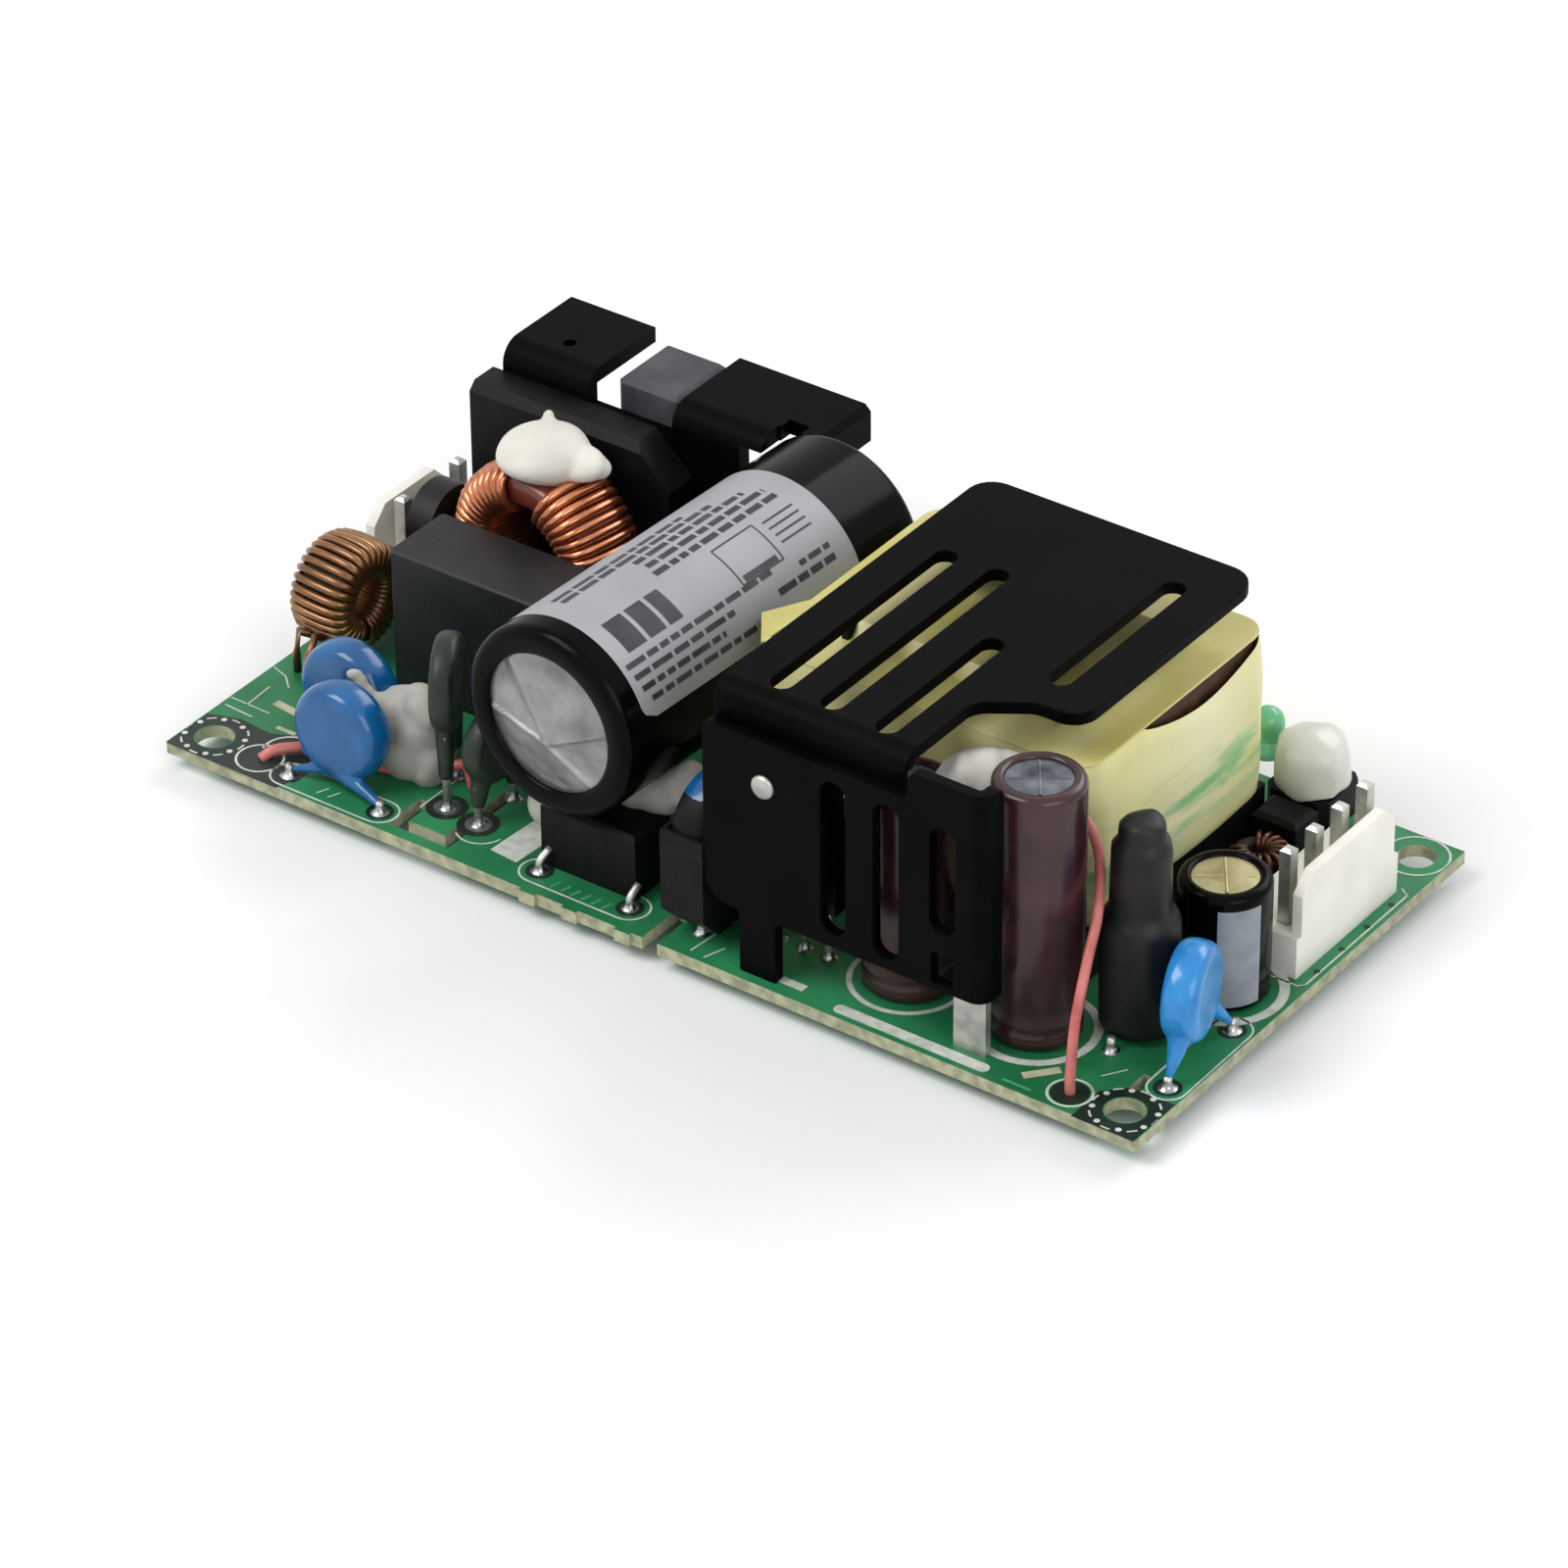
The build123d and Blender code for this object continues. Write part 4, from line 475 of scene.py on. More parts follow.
def blob(name, parts, look, replaces=(), voxel=0.22, rough=0.25, scale=0.5, soften=6, seed=0.0):
    """A soft lump: ellipsoids given as centre, radii and turn, joined and smoothed."""
    bm = bmesh.new()
    for item in parts:
        c, r = Vector(item[0]), item[1]
        turn = Matrix.Rotation(math.radians(item[2]) if len(item) > 2 else 0, 4, "Z")
        tilt = Matrix.Rotation(math.radians(item[3]) if len(item) > 3 else 0, 4, "Y")
        place = Matrix.Translation(c * MM) @ turn @ tilt @ Matrix.Diagonal((*[q * MM for q in r], 1))
        bmesh.ops.create_icosphere(bm, subdivisions=3, radius=1.0, matrix=place)
    for v in bm.verts:
        p = v.co / MM * scale + Vector((seed, 0, 0))
        v.co += v.normal * 0
        v.co += noise.noise_vector(p) * rough * MM
    data = bpy.data.meshes.new(name)
    bm.to_mesh(data)
    bm.free()
    obj = bpy.data.objects.new(name, data)
    bpy.context.scene.collection.objects.link(obj)
    r = obj.modifiers.new("join", "REMESH")
    r.mode = "VOXEL"
    r.voxel_size = voxel * MM
    s = obj.modifiers.new("soften", "SMOOTH")
    s.iterations = soften
    s.factor = 0.6
    graph = bpy.context.evaluated_depsgraph_get()
    made = bpy.data.meshes.new_from_object(obj.evaluated_get(graph))
    made.name = name
    obj.modifiers.clear()
    obj.data = made
    obj.data.materials.clear()
    return finish_piece(obj, look, replaces)


def span(node):
    """Lowest corner, highest corner and middle of a node, in millimetres."""
    low, high = (Vector(c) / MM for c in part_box(node))
    return low, high, (low + high) / 2


def islands(node):
    """Lowest and highest corners of the separate solids in a node, in millimetres."""
    data = nodes[node].data
    group = list(range(len(data.vertices)))

    def root(i):
        while group[i] != i:
            group[i] = group[group[i]]
            i = group[i]
        return i
    spots = {}
    for v in data.vertices:
        key = tuple(round(c * 1e6) for c in v.co)
        if key in spots:
            group[root(v.index)] = root(spots[key])
        else:
            spots[key] = v.index
    for e in data.edges:
        group[root(e.vertices[0])] = root(e.vertices[1])
    found = {}
    for v in data.vertices:
        found.setdefault(root(v.index), []).append(nodes[node].matrix_world @ v.co / MM)
    out = []
    for pts in found.values():
        low = Vector([min(p[i] for p in pts) for i in range(3)])
        high = Vector([max(p[i] for p in pts) for i in range(3)])
        out.append((low, high))
    return sorted(out, key=lambda b: (round(b[0].x, 3), round(b[0].y, 3), round(b[0].z, 3)))


# Wound rings

def rounded_box_loop(half_w, half_h, corner, turn):
    """A point on a rounded rectangle round the origin, as it turns."""
    x, y = math.cos(turn), math.sin(turn)
    power = 2 + 2.2 * (1 - corner)
    scale = (abs(x) ** power + abs(y) ** power) ** (-1 / power)
    return half_w * x * scale, half_h * y * scale


def wound(bm, centre, normal, up, outer, bore, thick, wire, turns, start, sweep, steps=18, sides=8, lead=()):
    """One coil of round wire on a ring; angles are measured from the second axis towards the third."""
    n = Vector(normal).normalized()
    b = Vector(up).normalized()
    a = b.cross(n)
    mid = (outer + bore) / 2
    half_w = (outer - bore) / 2 + wire / 2 + 0.04
    half_h = thick / 2 + wire / 2 + 0.04
    pts = []
    total = turns * steps
    for i in range(total + 1):
        t = i / total
        around = math.radians(start + sweep * t)
        w, h = rounded_box_loop(half_w, half_h, 0.35, TAU * i / steps)
        r = mid + w
        pts.append(Vector(centre) + r * (math.cos(around) * a + math.sin(around) * b) + h * n)
    pts = list(lead[0:1] and lead[0]) + pts + list(lead[1:2] and lead[1])
    add_tube(bm, pts, wire / 2, sides)


def ring_body(bm, centre, normal, outer, bore, thick, corner=0.6, sides=56):
    """A ring with rounded edges."""
    h = thick / 2
    c = min(corner, (outer - bore) / 3)
    profile = (arc(outer - c, h - c, c, 0, 90, 4) + arc(bore + c, h - c, c, 90, 180, 4)
               + arc(bore + c, -h + c, c, 180, 270, 4) + arc(outer - c, -h + c, c, 270, 360, 4))
    profile.append(profile[0])
    add_lathe(bm, profile, centre, normal, sides)


ring_c = Vector((-47.3, -4.0, 7.1))
bm = bmesh.new()
ring_body(bm, ring_c, (1, 0, 0), 4.45, 2.65, 4.7)
finish_piece(mesh_piece("input_ring", bm), "ring_core", ["input_inductor_core"])
bm = bmesh.new()
wound(bm, ring_c, (1, 0, 0), (0, 0, 1), 4.45, 2.6, 4.8, 0.76, 31, -96, 345, lead=(
    [(-46.5, -11.2, 1.3), (-46.5, -11.0, 3.6), (-46.3, -10.0, 5.6)],
    [(-48.5, -9.6, 5.2), (-48.5, -10.0, 3.0), (-48.5, -10.0, 1.3)],
))
finish_piece(mesh_piece("input_ring_wire", bm), "gold_wire", ["input_inductor_winding"])

choke_c = Vector((-32.5, 6.15, 11.6))
choke_n = Vector((math.cos(math.radians(83)), math.sin(math.radians(83)), 0))
choke_side = Vector((-choke_n.y, choke_n.x, 0))
bm = bmesh.new()
ring_body(bm, choke_c, choke_n, 8.15, 5.25, 6.1, 0.9, 72)
finish_piece(mesh_piece("choke_ring", bm), "choke_core_paint", ["choke_core"])
bm = bmesh.new()
COIL_SWEEP = 148
for centre_angle in (0, 180):
    wound(bm, choke_c, choke_n, (0, 0, 1), 8.2, 5.2, 6.2, 0.9, 22, centre_angle - COIL_SWEEP / 2, COIL_SWEEP)
for side in (-1, 1):
    for depth in (-1, 1):
        foot = choke_c + choke_side * side * 5.6 + choke_n * depth * 2.4
        top = choke_c + choke_side * side * 6.6 + choke_n * depth * 3.2 + Vector((0, 0, -4.6))
        add_tube(bm, smooth_path([(foot.x, foot.y, 1.2), (foot.x, foot.y, 3.4), top], 5), 0.46, 10)
finish_piece(mesh_piece("choke_wire", bm), "copper_wire", ["choke_windings"])

bead_c = Vector((38.8, 11.4, 3.3))
bm = bmesh.new()
ring_body(bm, bead_c, (0, 0, 1), 2.36, 1.14, 2.3, 0.35, 36)
finish_piece(mesh_piece("output_ring", bm), "ring_core", ["output_inductor_core"])
bm = bmesh.new()
wound(bm, bead_c, (0, 0, 1), (0, 1, 0), 2.4, 1.1, 2.4, 0.5, 13, -150, 290, 12)
for spread in (-1, 1):
    turn = math.radians(205 + spread * 24)
    x, y = bead_c.x + 2.7 * math.cos(turn), bead_c.y + 2.7 * math.sin(turn)
    add_tube(bm, [(x, y, 1.2), (x, y, 2.2), (x + 0.1, y, 3.2)], 0.28, 8)
finish_piece(mesh_piece("output_ring_wire", bm), "dark_wire", ["output_inductor_winding"])

# Bulk capacitor

near = Vector((-10.22, -23.3, 17.2))
axis = Vector((0.05, 1, 0)).normalized()
length = 40.3
R = 9.0
bm = bmesh.new()
shell = [(6.55, 0.42), (6.6, 0.1), (6.9, 0.0)] + arc(R - 1.1, 1.1, 1.1, 270, 360, 6)
shell += [(R, length - 1.1)]
shell += arc(R - 1.1, length - 1.1, 1.1, 0, 90, 5) + [(6.9, length), (6.55, length - 0.2)]
add_lathe(bm, shell, near, axis, 96)
finish_piece(mesh_piece("bulk_sleeve", bm), "black_sleeve", ["bulk_capacitor_sleeve"])

bm = bmesh.new()
up = Vector((0, 0, 1))
side_way = axis.cross(up).normalized()
end_r = R - 1.4
VENT = (-0.5, -2.4)
VENT_ENDS = ((-4.3, 4.7), (-6.3, -0.8), (5.9, 1.0), (4.5, -4.8))


def to_segment(p, a, b):
    """Distance from a point to a segment, in two dimensions."""
    run = (b[0] - a[0], b[1] - a[1])
    t = ((p[0] - a[0]) * run[0] + (p[1] - a[1]) * run[1]) / (run[0] ** 2 + run[1] ** 2)
    t = min(1, max(0, t))
    return math.hypot(p[0] - a[0] - t * run[0], p[1] - a[1] - t * run[1])


def end_depth(x, z):
    """How deep the can's end lies at a point: facets that meet in ridges along the vent."""
    away = [to_segment((x, z), VENT, tip) for tip in VENT_ENDS]
    weights = (0.5, 1.0, 1.0, 1.0)
    ridge = max(w * math.exp(-(d / 0.22) ** 2) for w, d in zip(weights, away))
    facet = min(min(d / w for w, d in zip(weights, away)), 2.6)
    edge = min(1, (1 - math.hypot(x, z) / end_r) * 5)
    return 0.62 + edge * (0.16 * facet - 0.34 * ridge) - 0.1 * edge


RING_STEPS = 44
AROUND = 160
centre_vert = bm.verts.new((near + axis * end_depth(0, 0)) * MM)
rows = []
for j in range(1, RING_STEPS + 1):
    q = end_r * j / RING_STEPS
    row = []
    for k in range(AROUND):
        x, z = q * math.cos(TAU * k / AROUND), q * math.sin(TAU * k / AROUND)
        row.append(bm.verts.new((near + axis * end_depth(x, z) + x * side_way + z * up) * MM))
    rows.append(row)
for k in range(AROUND):
    bm.faces.new((centre_vert, rows[0][k], rows[0][(k + 1) % AROUND]))
for a, b in zip(rows, rows[1:]):
    for k in range(AROUND):
        bm.faces.new((a[k], b[k], b[(k + 1) % AROUND], a[(k + 1) % AROUND]))
add_lathe(bm, [(end_r, 0.6), (end_r, length - 0.8), (0, length - 0.6)], near, axis, 64)
finish_piece(mesh_piece("bulk_can", bm), "bare_aluminium", ["bulk_capacitor_can"])

# Label on the sleeve, left bare

def on_sleeve(turn, along, lift=0.03):
    """A point on the sleeve: the angle from straight up towards the input end, and the distance along."""
    a = math.radians(turn)
    return near + axis * along + (R + lift) * (math.cos(a) * up - math.sin(a) * side_way * -1)


def patch(bm, turn0, turn1, along0, along1, corner, lift, index=0, nu=40, nv=28):
    """A thin curved rectangle with rounded corners that lies on the sleeve."""
    width = math.radians(turn1 - turn0) * R
    height = along1 - along0
    outline = []
    for cx, cy, a0 in ((width - corner, height - corner, 0), (corner, height - corner, 90), (corner, corner, 180),
                       (width - corner, corner, 270)):
        for i in range(7):
            a = math.radians(a0 + 15 * i)
            outline.append((cx + corner * math.cos(a), cy + corner * math.sin(a)))
    columns = [width * i / nu for i in range(nu + 1)]
    previous = None
    for x in columns:
        inset = 0
        if x < corner:
            inset = corner - math.sqrt(max(0, corner ** 2 - (corner - x) ** 2))
        elif x > width - corner:
            inset = corner - math.sqrt(max(0, corner ** 2 - (x - width + corner) ** 2))
        col = []
        for j in range(nv + 1):
            y = inset + (height - 2 * inset) * j / nv
            col.append(bm.verts.new(on_sleeve(turn0 + math.degrees(x / R), along0 + y, lift) * MM))
        if previous:
            for j in range(nv):
                f = bm.faces.new((previous[j], col[j], col[j + 1], previous[j + 1]))
                f.material_index = index
        previous = col


LABEL_LOW, LABEL_HIGH = 75, -84
LABEL_NEAR, LABEL_FAR = 2.6, 31.9
bm = bmesh.new()
patch(bm, LABEL_HIGH, LABEL_LOW, LABEL_NEAR, LABEL_FAR, 1.5, 0.035)
finish_piece(mesh_piece("bulk_label", bm), "label_grey")


def bar(bm, turn, along0, along1, high, lift=0.06):
    """A plain bar of print along the can."""
    half = math.degrees(high / 2 / R)
    steps = max(2, math.ceil(2 * half / 3))
    rows = [[bm.verts.new(on_sleeve(turn - half + 2 * half * i / steps, along, lift) * MM)
             for along in (along0, along1)] for i in range(steps + 1)]
    for a, b in zip(rows, rows[1:]):
        bm.faces.new((a[0], a[1], b[1], b[0]))


bm = bmesh.new()
words = random.Random(7)
ROWS = ((65, 4.2, 18.6, 0.5), (58, 3.6, 14.6, 0.5), (51, 3.4, 16.8, 0.5), (44, 3.2, 22.4, 0.5),
        (8, 13.0, 29.6, 0.62), (0.5, 13.4, 29.0, 0.62), (-7, 13.2, 27.6, 0.62), (-14, 5.0, 24.6, 0.62),
        (-21, 5.0, 22.0, 0.62), (56, 22.0, 29.6, 0.62), (49, 25.6, 29.6, 0.5))
for turn, begin, stop, high in ROWS:
    at = begin
    while at < stop:
        long = min(words.uniform(0.8, 2.6), stop - at)
        bar(bm, turn, at, at + long, high)
        at += long + 0.38
for at, end in ((4.4, 6.8), (7.3, 9.4), (9.9, 11.6)):
    bar(bm, 27, at, end, 3.4)
for turn in (16, 42):
    bar(bm, turn, 19.0, 24.4, 0.16)
for along in (19.0, 24.4):
    bar(bm, 29, along - 0.08, along + 0.08, 4.08)
bar(bm, 39.4, 19.5, 23.9, 0.6)
for turn in (19, 24, 29, 34):
    bar(bm, turn, 25.4, 29.4, 0.2)
finish_piece(mesh_piece("bulk_label_marks", bm), "mark_dark")

bm = bmesh.new()
bulk_end = near + axis * (length - 0.4)
for s in (-1, 1):
    start = bulk_end + side_way * s * 3.75 * -1
    knee = start + axis * 2.2
    add_tube(bm, [start] + smooth_path([knee - axis * 0.8, knee - axis * 0.1 - up * 0.25, knee - up * 1.0], 4)
             + [(knee.x, knee.y, 1.2)], 0.4, 12)
finish_piece(mesh_piece("bulk_leads", bm), "tinned", ["bulk_capacitor_leads"])

# Upright capacitors

def upright_cap(node, look, top_look, crimp=1.6, stripe=False):
    low, high, mid = span(node)
    r = (high.x - low.x) / 2
    h = high.z - low.z
    bm = bmesh.new()
    fold = r - 1.15
    body = [(r - 0.9, 0.0), (r - 0.25, 0.15), (r, 0.5), (r, crimp), (r - 0.28, crimp + 0.45), (r, crimp + 0.9)]
    body += [(r, h - 0.75)] + arc(r - 0.7, h - 0.7, 0.7, 0, 90, 5)
    body += [(fold + 0.1, h - 0.02), (fold, h - 0.22)]
    add_lathe(bm, body, (mid.x, mid.y, low.z), (0, 0, 1), 64)
    count = len(bm.faces)
    add_lathe(bm, [(fold + 0.15, h - 0.28), (0, h - 0.22)], (mid.x, mid.y, low.z), (0, 0, 1), 48, 1)
    for turn in (35, 125):
        c, s = math.cos(math.radians(turn)), math.sin(math.radians(turn))
        across = Vector((c, s, 0))
        flat = Vector((-s, c, 0))
        top = Vector((mid.x, mid.y, low.z + h - 0.24))
        quad = [top + across * fold * 0.88 + flat * 0.14, top - across * fold * 0.88 + flat * 0.14,
                top - across * fold * 0.88 - flat * 0.14, top + across * fold * 0.88 - flat * 0.14]
        lifted = [q + Vector((0, 0, 0.07)) for q in quad]
        base = [bm.verts.new(q * MM) for q in quad]
        ridge = [bm.verts.new((top + across * fold * 0.9 + Vector((0, 0, 0.12))) * MM),
                 bm.verts.new((top - across * fold * 0.9 + Vector((0, 0, 0.12))) * MM)]
        for f in ((base[0], base[1], ridge[1], ridge[0]), (base[2], base[3], ridge[0], ridge[1])):
            made = bm.faces.new(f)
            made.material_index = 1
    if stripe:
        for i in range(9):
            t0, t1 = -28 + 56 * i / 9, -28 + 56 * (i + 1) / 9
            for z0, z1 in ((low.z + 0.7, low.z + h - 1.2),):
                corners = []
                for t, z in ((t0, z0), (t1, z0), (t1, z1), (t0, z1)):
                    a = math.radians(t - 38)
                    corners.append(bm.verts.new(Vector((mid.x + (r + 0.02) * math.cos(a),
                                                        mid.y + (r + 0.02) * math.sin(a), z)) * MM))
                f = bm.faces.new(corners)
                f.material_index = 2
    finish_piece(mesh_piece(node + "_form", bm), look, [node], extra=(top_look, "stripe"))


upright_cap("output_capacitor_1", "brown_sleeve", "cap_end")
upright_cap("output_capacitor_2", "brown_sleeve", "cap_end")
upright_cap("small_capacitor", "black_sleeve", "gold_top", stripe=True)


# Coated discs

def disc_form(node, centre, normal_turn, r, t, look, feet=(), cover=None, thin=0.78):
    """A coated disc on edge; feet holds a side step, the foot of the coating run and its width.

    Below the height cover the disc wears the black sleeve; thin is how much a run narrows to its foot."""
    a = math.radians(normal_turn)
    normal = Vector((math.cos(a), math.sin(a), 0))
    along = Vector((-math.sin(a), math.cos(a), 0))
    c = Vector(centre)
    bm = bmesh.new()
    n = 10
    rim = []
    for i in range(n + 1):
        q = math.pi / 2 * i / n
        rim.append((r - t * 0.5 * (1 - math.cos(q) ** 0.7) * 0.8, t / 2 * math.sin(q) ** 0.8))
    full = [(rr, -hh) for rr, hh in reversed(rim)] + rim[1:]
    dome = [(0, -t / 2), (r * 0.5, -t / 2)] + full + [(r * 0.5, t / 2), (0, t / 2)]
    add_lathe(bm, dome, c, normal, 40)
    for step, foot, wide in feet:
        top = c + along * step * 0.72 + Vector((0, 0, -r * 0.62))
        end = Vector(foot)
        pts = smooth_path([top + Vector((0, 0, 0.6)), top + (end - top) * 0.35, top + (end - top) * 0.7, end], 5)
        radii = [wide * (1 - thin * (i / (len(pts) - 1)) ** 0.7) for i in range(len(pts))]
        add_tube(bm, pts, radii, 14)
    obj = mesh_piece(node + "_form", bm)
    m = obj.modifiers.new("join", "REMESH")
    m.mode = "VOXEL"
    m.voxel_size = 0.16 * MM
    s = obj.modifiers.new("soften", "SMOOTH")
    s.iterations = 10
    s.factor = 0.6
    graph = bpy.context.evaluated_depsgraph_get()
    made = bpy.data.meshes.new_from_object(obj.evaluated_get(graph))
    obj.modifiers.clear()
    obj.data = made
    if cover is None:
        return finish_piece(obj, look, [node])
    finish_piece(obj, look, [node], extra=("dark_moulding",))
    for face in made.polygons:
        face.material_index = int(face.center.z < cover * MM)
    return obj


FRONT_DISC_FEET = ((-38.7, -23.3), (-28.7, -23.3))
REAR_DISC_FEET = ((-41.6, -16.8), (-32.6, -16.8))
OUT_DISC_FEET = ((48.9, -17.8), (48.8, -8.0))
disc_form("y_capacitor_front", (-34.1, -21.3, 6.6), 90, 4.6, 3.6, "blue_coating", (
    (-4.2, (*FRONT_DISC_FEET[0], 1.9), 1.2), (4.4, (*FRONT_DISC_FEET[1], 1.9), 1.7)))
disc_form("y_capacitor_rear", (-37.2, -16.3, 7.0), 90, 4.7, 3.6, "blue_coating", (
    (-4.2, (*REAR_DISC_FEET[0], 1.9), 1.2), (4.2, (*REAR_DISC_FEET[1], 1.9), 1.2)))
disc_form("y_capacitor_output", (48.1, -13.3, 8.0), 16, 4.4, 3.3, "blue_bright", (
    (-4.0, (*OUT_DISC_FEET[0], 1.8), 1.2), (4.0, (*OUT_DISC_FEET[1], 1.9), 1.3)))
disc_form("thermistor_1", (-25.6, -17.2, 12.6), 29, 4.4, 2.3, "green_coating", (
    (-2.5, (-24.4, -19.4, 4.2), 1.1), (2.5, (-26.8, -15.0, 4.2), 1.1)), thin=0.42)
disc_form("thermistor_2", (-20.6, -17.4, 8.2), 0, 3.6, 2.2, "green_coating", (
    (-2.5, (-20.6, -19.9, 3.0), 1.1), (2.5, (-20.6, -14.9, 3.0), 1.1)), thin=0.42)
disc_form("sleeved_disc_capacitor", (4.7, -19.4, 11.2), 0, 4.9, 3.9, "blue_coating", cover=15.0)

# Sealant

blob("choke_sealant_form", [
    ((-33.1, 6.6, 21.0), (4.2, 4.4, 2.1)), ((-34.5, 6.2, 20.7), (2.9, 3.3, 1.8)), ((-30.0, 7.4, 20.7), (2.9, 2.4, 1.4)),
    ((-28.6, 8.2, 20.3), (1.6, 1.4, 0.9)), ((-32.4, 7.0, 19.9), (3.2, 3.2, 1.3)), ((-34.8, 9.5, 22.6), (0.55, 0.55, 0.7)),
], "sealant", ["choke_sealant"], rough=0.3, scale=0.3, soften=4, seed=3)
# The left lump wears the darker sealant copy, which is painted shade.
blob("left_sealant_form", [
    ((-30.1, -15.6, 5.0), (3.1, 2.9, 4.6)), ((-32.0, -16.2, 6.4), (2.5, 2.4, 2.6)), ((-30.8, -16.2, 3.0), (3.6, 2.9, 2.9)),
    ((-33.0, -17.2, 3.6), (2.2, 1.8, 2.2)), ((-28.9, -16.4, 8.0), (1.9, 1.8, 1.9)), ((-28.4, -16.8, 2.6), (2.0, 1.8, 2.3)),
    ((-32.2, -16.8, 7.2), (1.3, 1.3, 1.1)), ((-33.0, -17.6, 8.2), (0.9, 0.9, 0.8)), ((-33.7, -18.1, 8.9), (0.7, 0.7, 0.7)),
    ((-34.3, -18.3, 9.6), (0.65, 0.6, 0.65)), ((-34.9, -18.4, 10.3), (0.65, 0.6, 0.65)),
], "sealant_painted_shade", ["left_sealant"], rough=0.4, scale=0.45, seed=9)
low, high, mid = span("bulk_sealant")
# The lump under the bulk can wears the darker sealant copy, which is painted shade.
blob("bulk_sealant_form", [
    ((mid.x, mid.y + 3.0, 3.4), (2.6, 3.0, 2.5)), ((mid.x - 0.3, mid.y + 2.6, 6.2), (2.1, 2.9, 2.4)),
    ((-14.2, -14.2, 3.6), (1.7, 2.2, 2.4)), ((-8.6, -16.2, 7.0), (2.2, 1.6, 1.5), 0, -25),
    ((-6.2, -16.2, 7.8), (2.4, 1.6, 1.8), 0, -30), ((-3.6, -16.2, 9.0), (2.4, 1.6, 2.1), 0, -38),
    ((-1.6, -16.2, 10.4), (2.0, 1.5, 1.9), 0, -45), ((-0.4, -16.2, 12.0), (1.4, 1.2, 1.5), 0, -50),
], "sealant_painted_shade", ["bulk_sealant"], rough=0.3, seed=14)
low, high, mid = span("output_sealant")
blob("output_sealant_form", [
    ((28.2, -14.6, 21.9), (2.9, 2.6, 2.8)), ((27.0, -16.2, 22.4), (1.9, 2.6, 2.0)), ((29.6, -13.0, 21.6), (2.4, 1.9, 2.4)),
    ((28.9, -14.6, 20.4), (2.2, 2.0, 2.0)),
], "sealant", ["output_sealant"], rough=0.4, seed=22)
bm = bmesh.new()
add_lathe(bm, [(3.2, 0.0), (3.35, 0.5), (3.3, 1.8), (3.2, 3.0), (2.95, 4.0), (2.3, 4.7), (1.3, 5.1), (0, 5.2)],
          (37.6, 21.6, 5.5), (0, 0, 1), 40)
dome = mesh_piece("trimmer_sealant_form", bm)
for v in dome.data.vertices:
    p = v.co / MM * 0.5
    v.co += noise.noise_vector(p) * 0.4 * MM
finish_piece(dome, "milky_sealant", ["trimmer_sealant"])

# Rod inductor and lamp

bm = bmesh.new()
rod = [(2.2, 0.0), (3.3, 0.15), (3.45, 0.8), (3.4, 9.6)] + [(3.35, 10.3), (3.0, 10.95), (2.66, 11.3), (2.58, 12.0)]
rod += [(2.52, 17.0), (2.45, 17.8), (2.1, 18.2), (1.96, 18.5), (1.93, 19.6), (1.6, 20.0), (0.7, 20.1), (0, 20.1)]
add_lathe(bm, rod, (42.2, -12.0, 1.8), (0, 0, 1), 48)
rod_obj = mesh_piece("rod_form", bm)
for v in rod_obj.data.vertices:
    p = v.co / MM
    v.co += noise.noise_vector(Vector((p.x * 0.5, p.y * 0.5, p.z * 0.25))) * 0.18 * MM
finish_piece(rod_obj, "shrink_sleeve", ["rod_inductor"])
bm = bmesh.new()
add_lathe(bm, [(1.2, 0), (1.78, 0.0), (1.8, 0.7), (1.5, 0.8), (1.5, 2.9)] + arc(0, 2.9, 1.5, 0, 90, 8),
          (32.0, 23.2, 5.6), (0, 0, 1), 32)
finish_piece(mesh_piece("lamp_form", bm), "green_lens", ["status_led"])

# Wires

bm = bmesh.new()
add_tube(bm, smooth_path([(42.8, -23.0, 1.2), (42.8, -23.0, 3.2), (42.3, -21.6, 7.6), (41.6, -18.8, 12.0), (40.6, -16.0, 14.4),
                          (38.3, -12.5, 17.2), (35.8, -11.0, 19.0), (33.6, -10.6, 19.4)], 8), 0.45, 14)
finish_piece(mesh_piece("output_wire_form", bm), "red_insulation", ["red_output_wire"])
bm = bmesh.new()
add_tube(bm, smooth_path([(-42.3, -22.8, 1.2), (-41.6, -21.9, 1.85), (-40.4, -20.6, 1.9), (-38.3, -19.2, 1.85),
                          (-34.0, -18.7, 1.8), (-29.5, -17.9, 2.0), (-26.6, -16.5, 2.9), (-25.2, -15.6, 3.1),
                          (-24.2, -15.9, 1.2)], 8), 0.5, 12)
finish_piece(mesh_piece("jumper_wire_form", bm), "red_insulation", ["red_jumper_wire"])

# Round leads and joints

FILM_FEET = ((-12.0, -22.5), (-2.4, -22.5))
MOVED_FEET = FRONT_DISC_FEET + REAR_DISC_FEET + OUT_DISC_FEET
DISC_NODES = ("y_capacitor_front", "y_capacitor_rear", "y_capacitor_output")


def beneath(p, names, slack=0.2):
    """Whether a lead stands under one of the nodes."""
    for node in names:
        low, high, mid = span(node)
        if low.x - slack < p.x < high.x + slack and low.y - slack < p.y < high.y + slack:
            return True
    return False


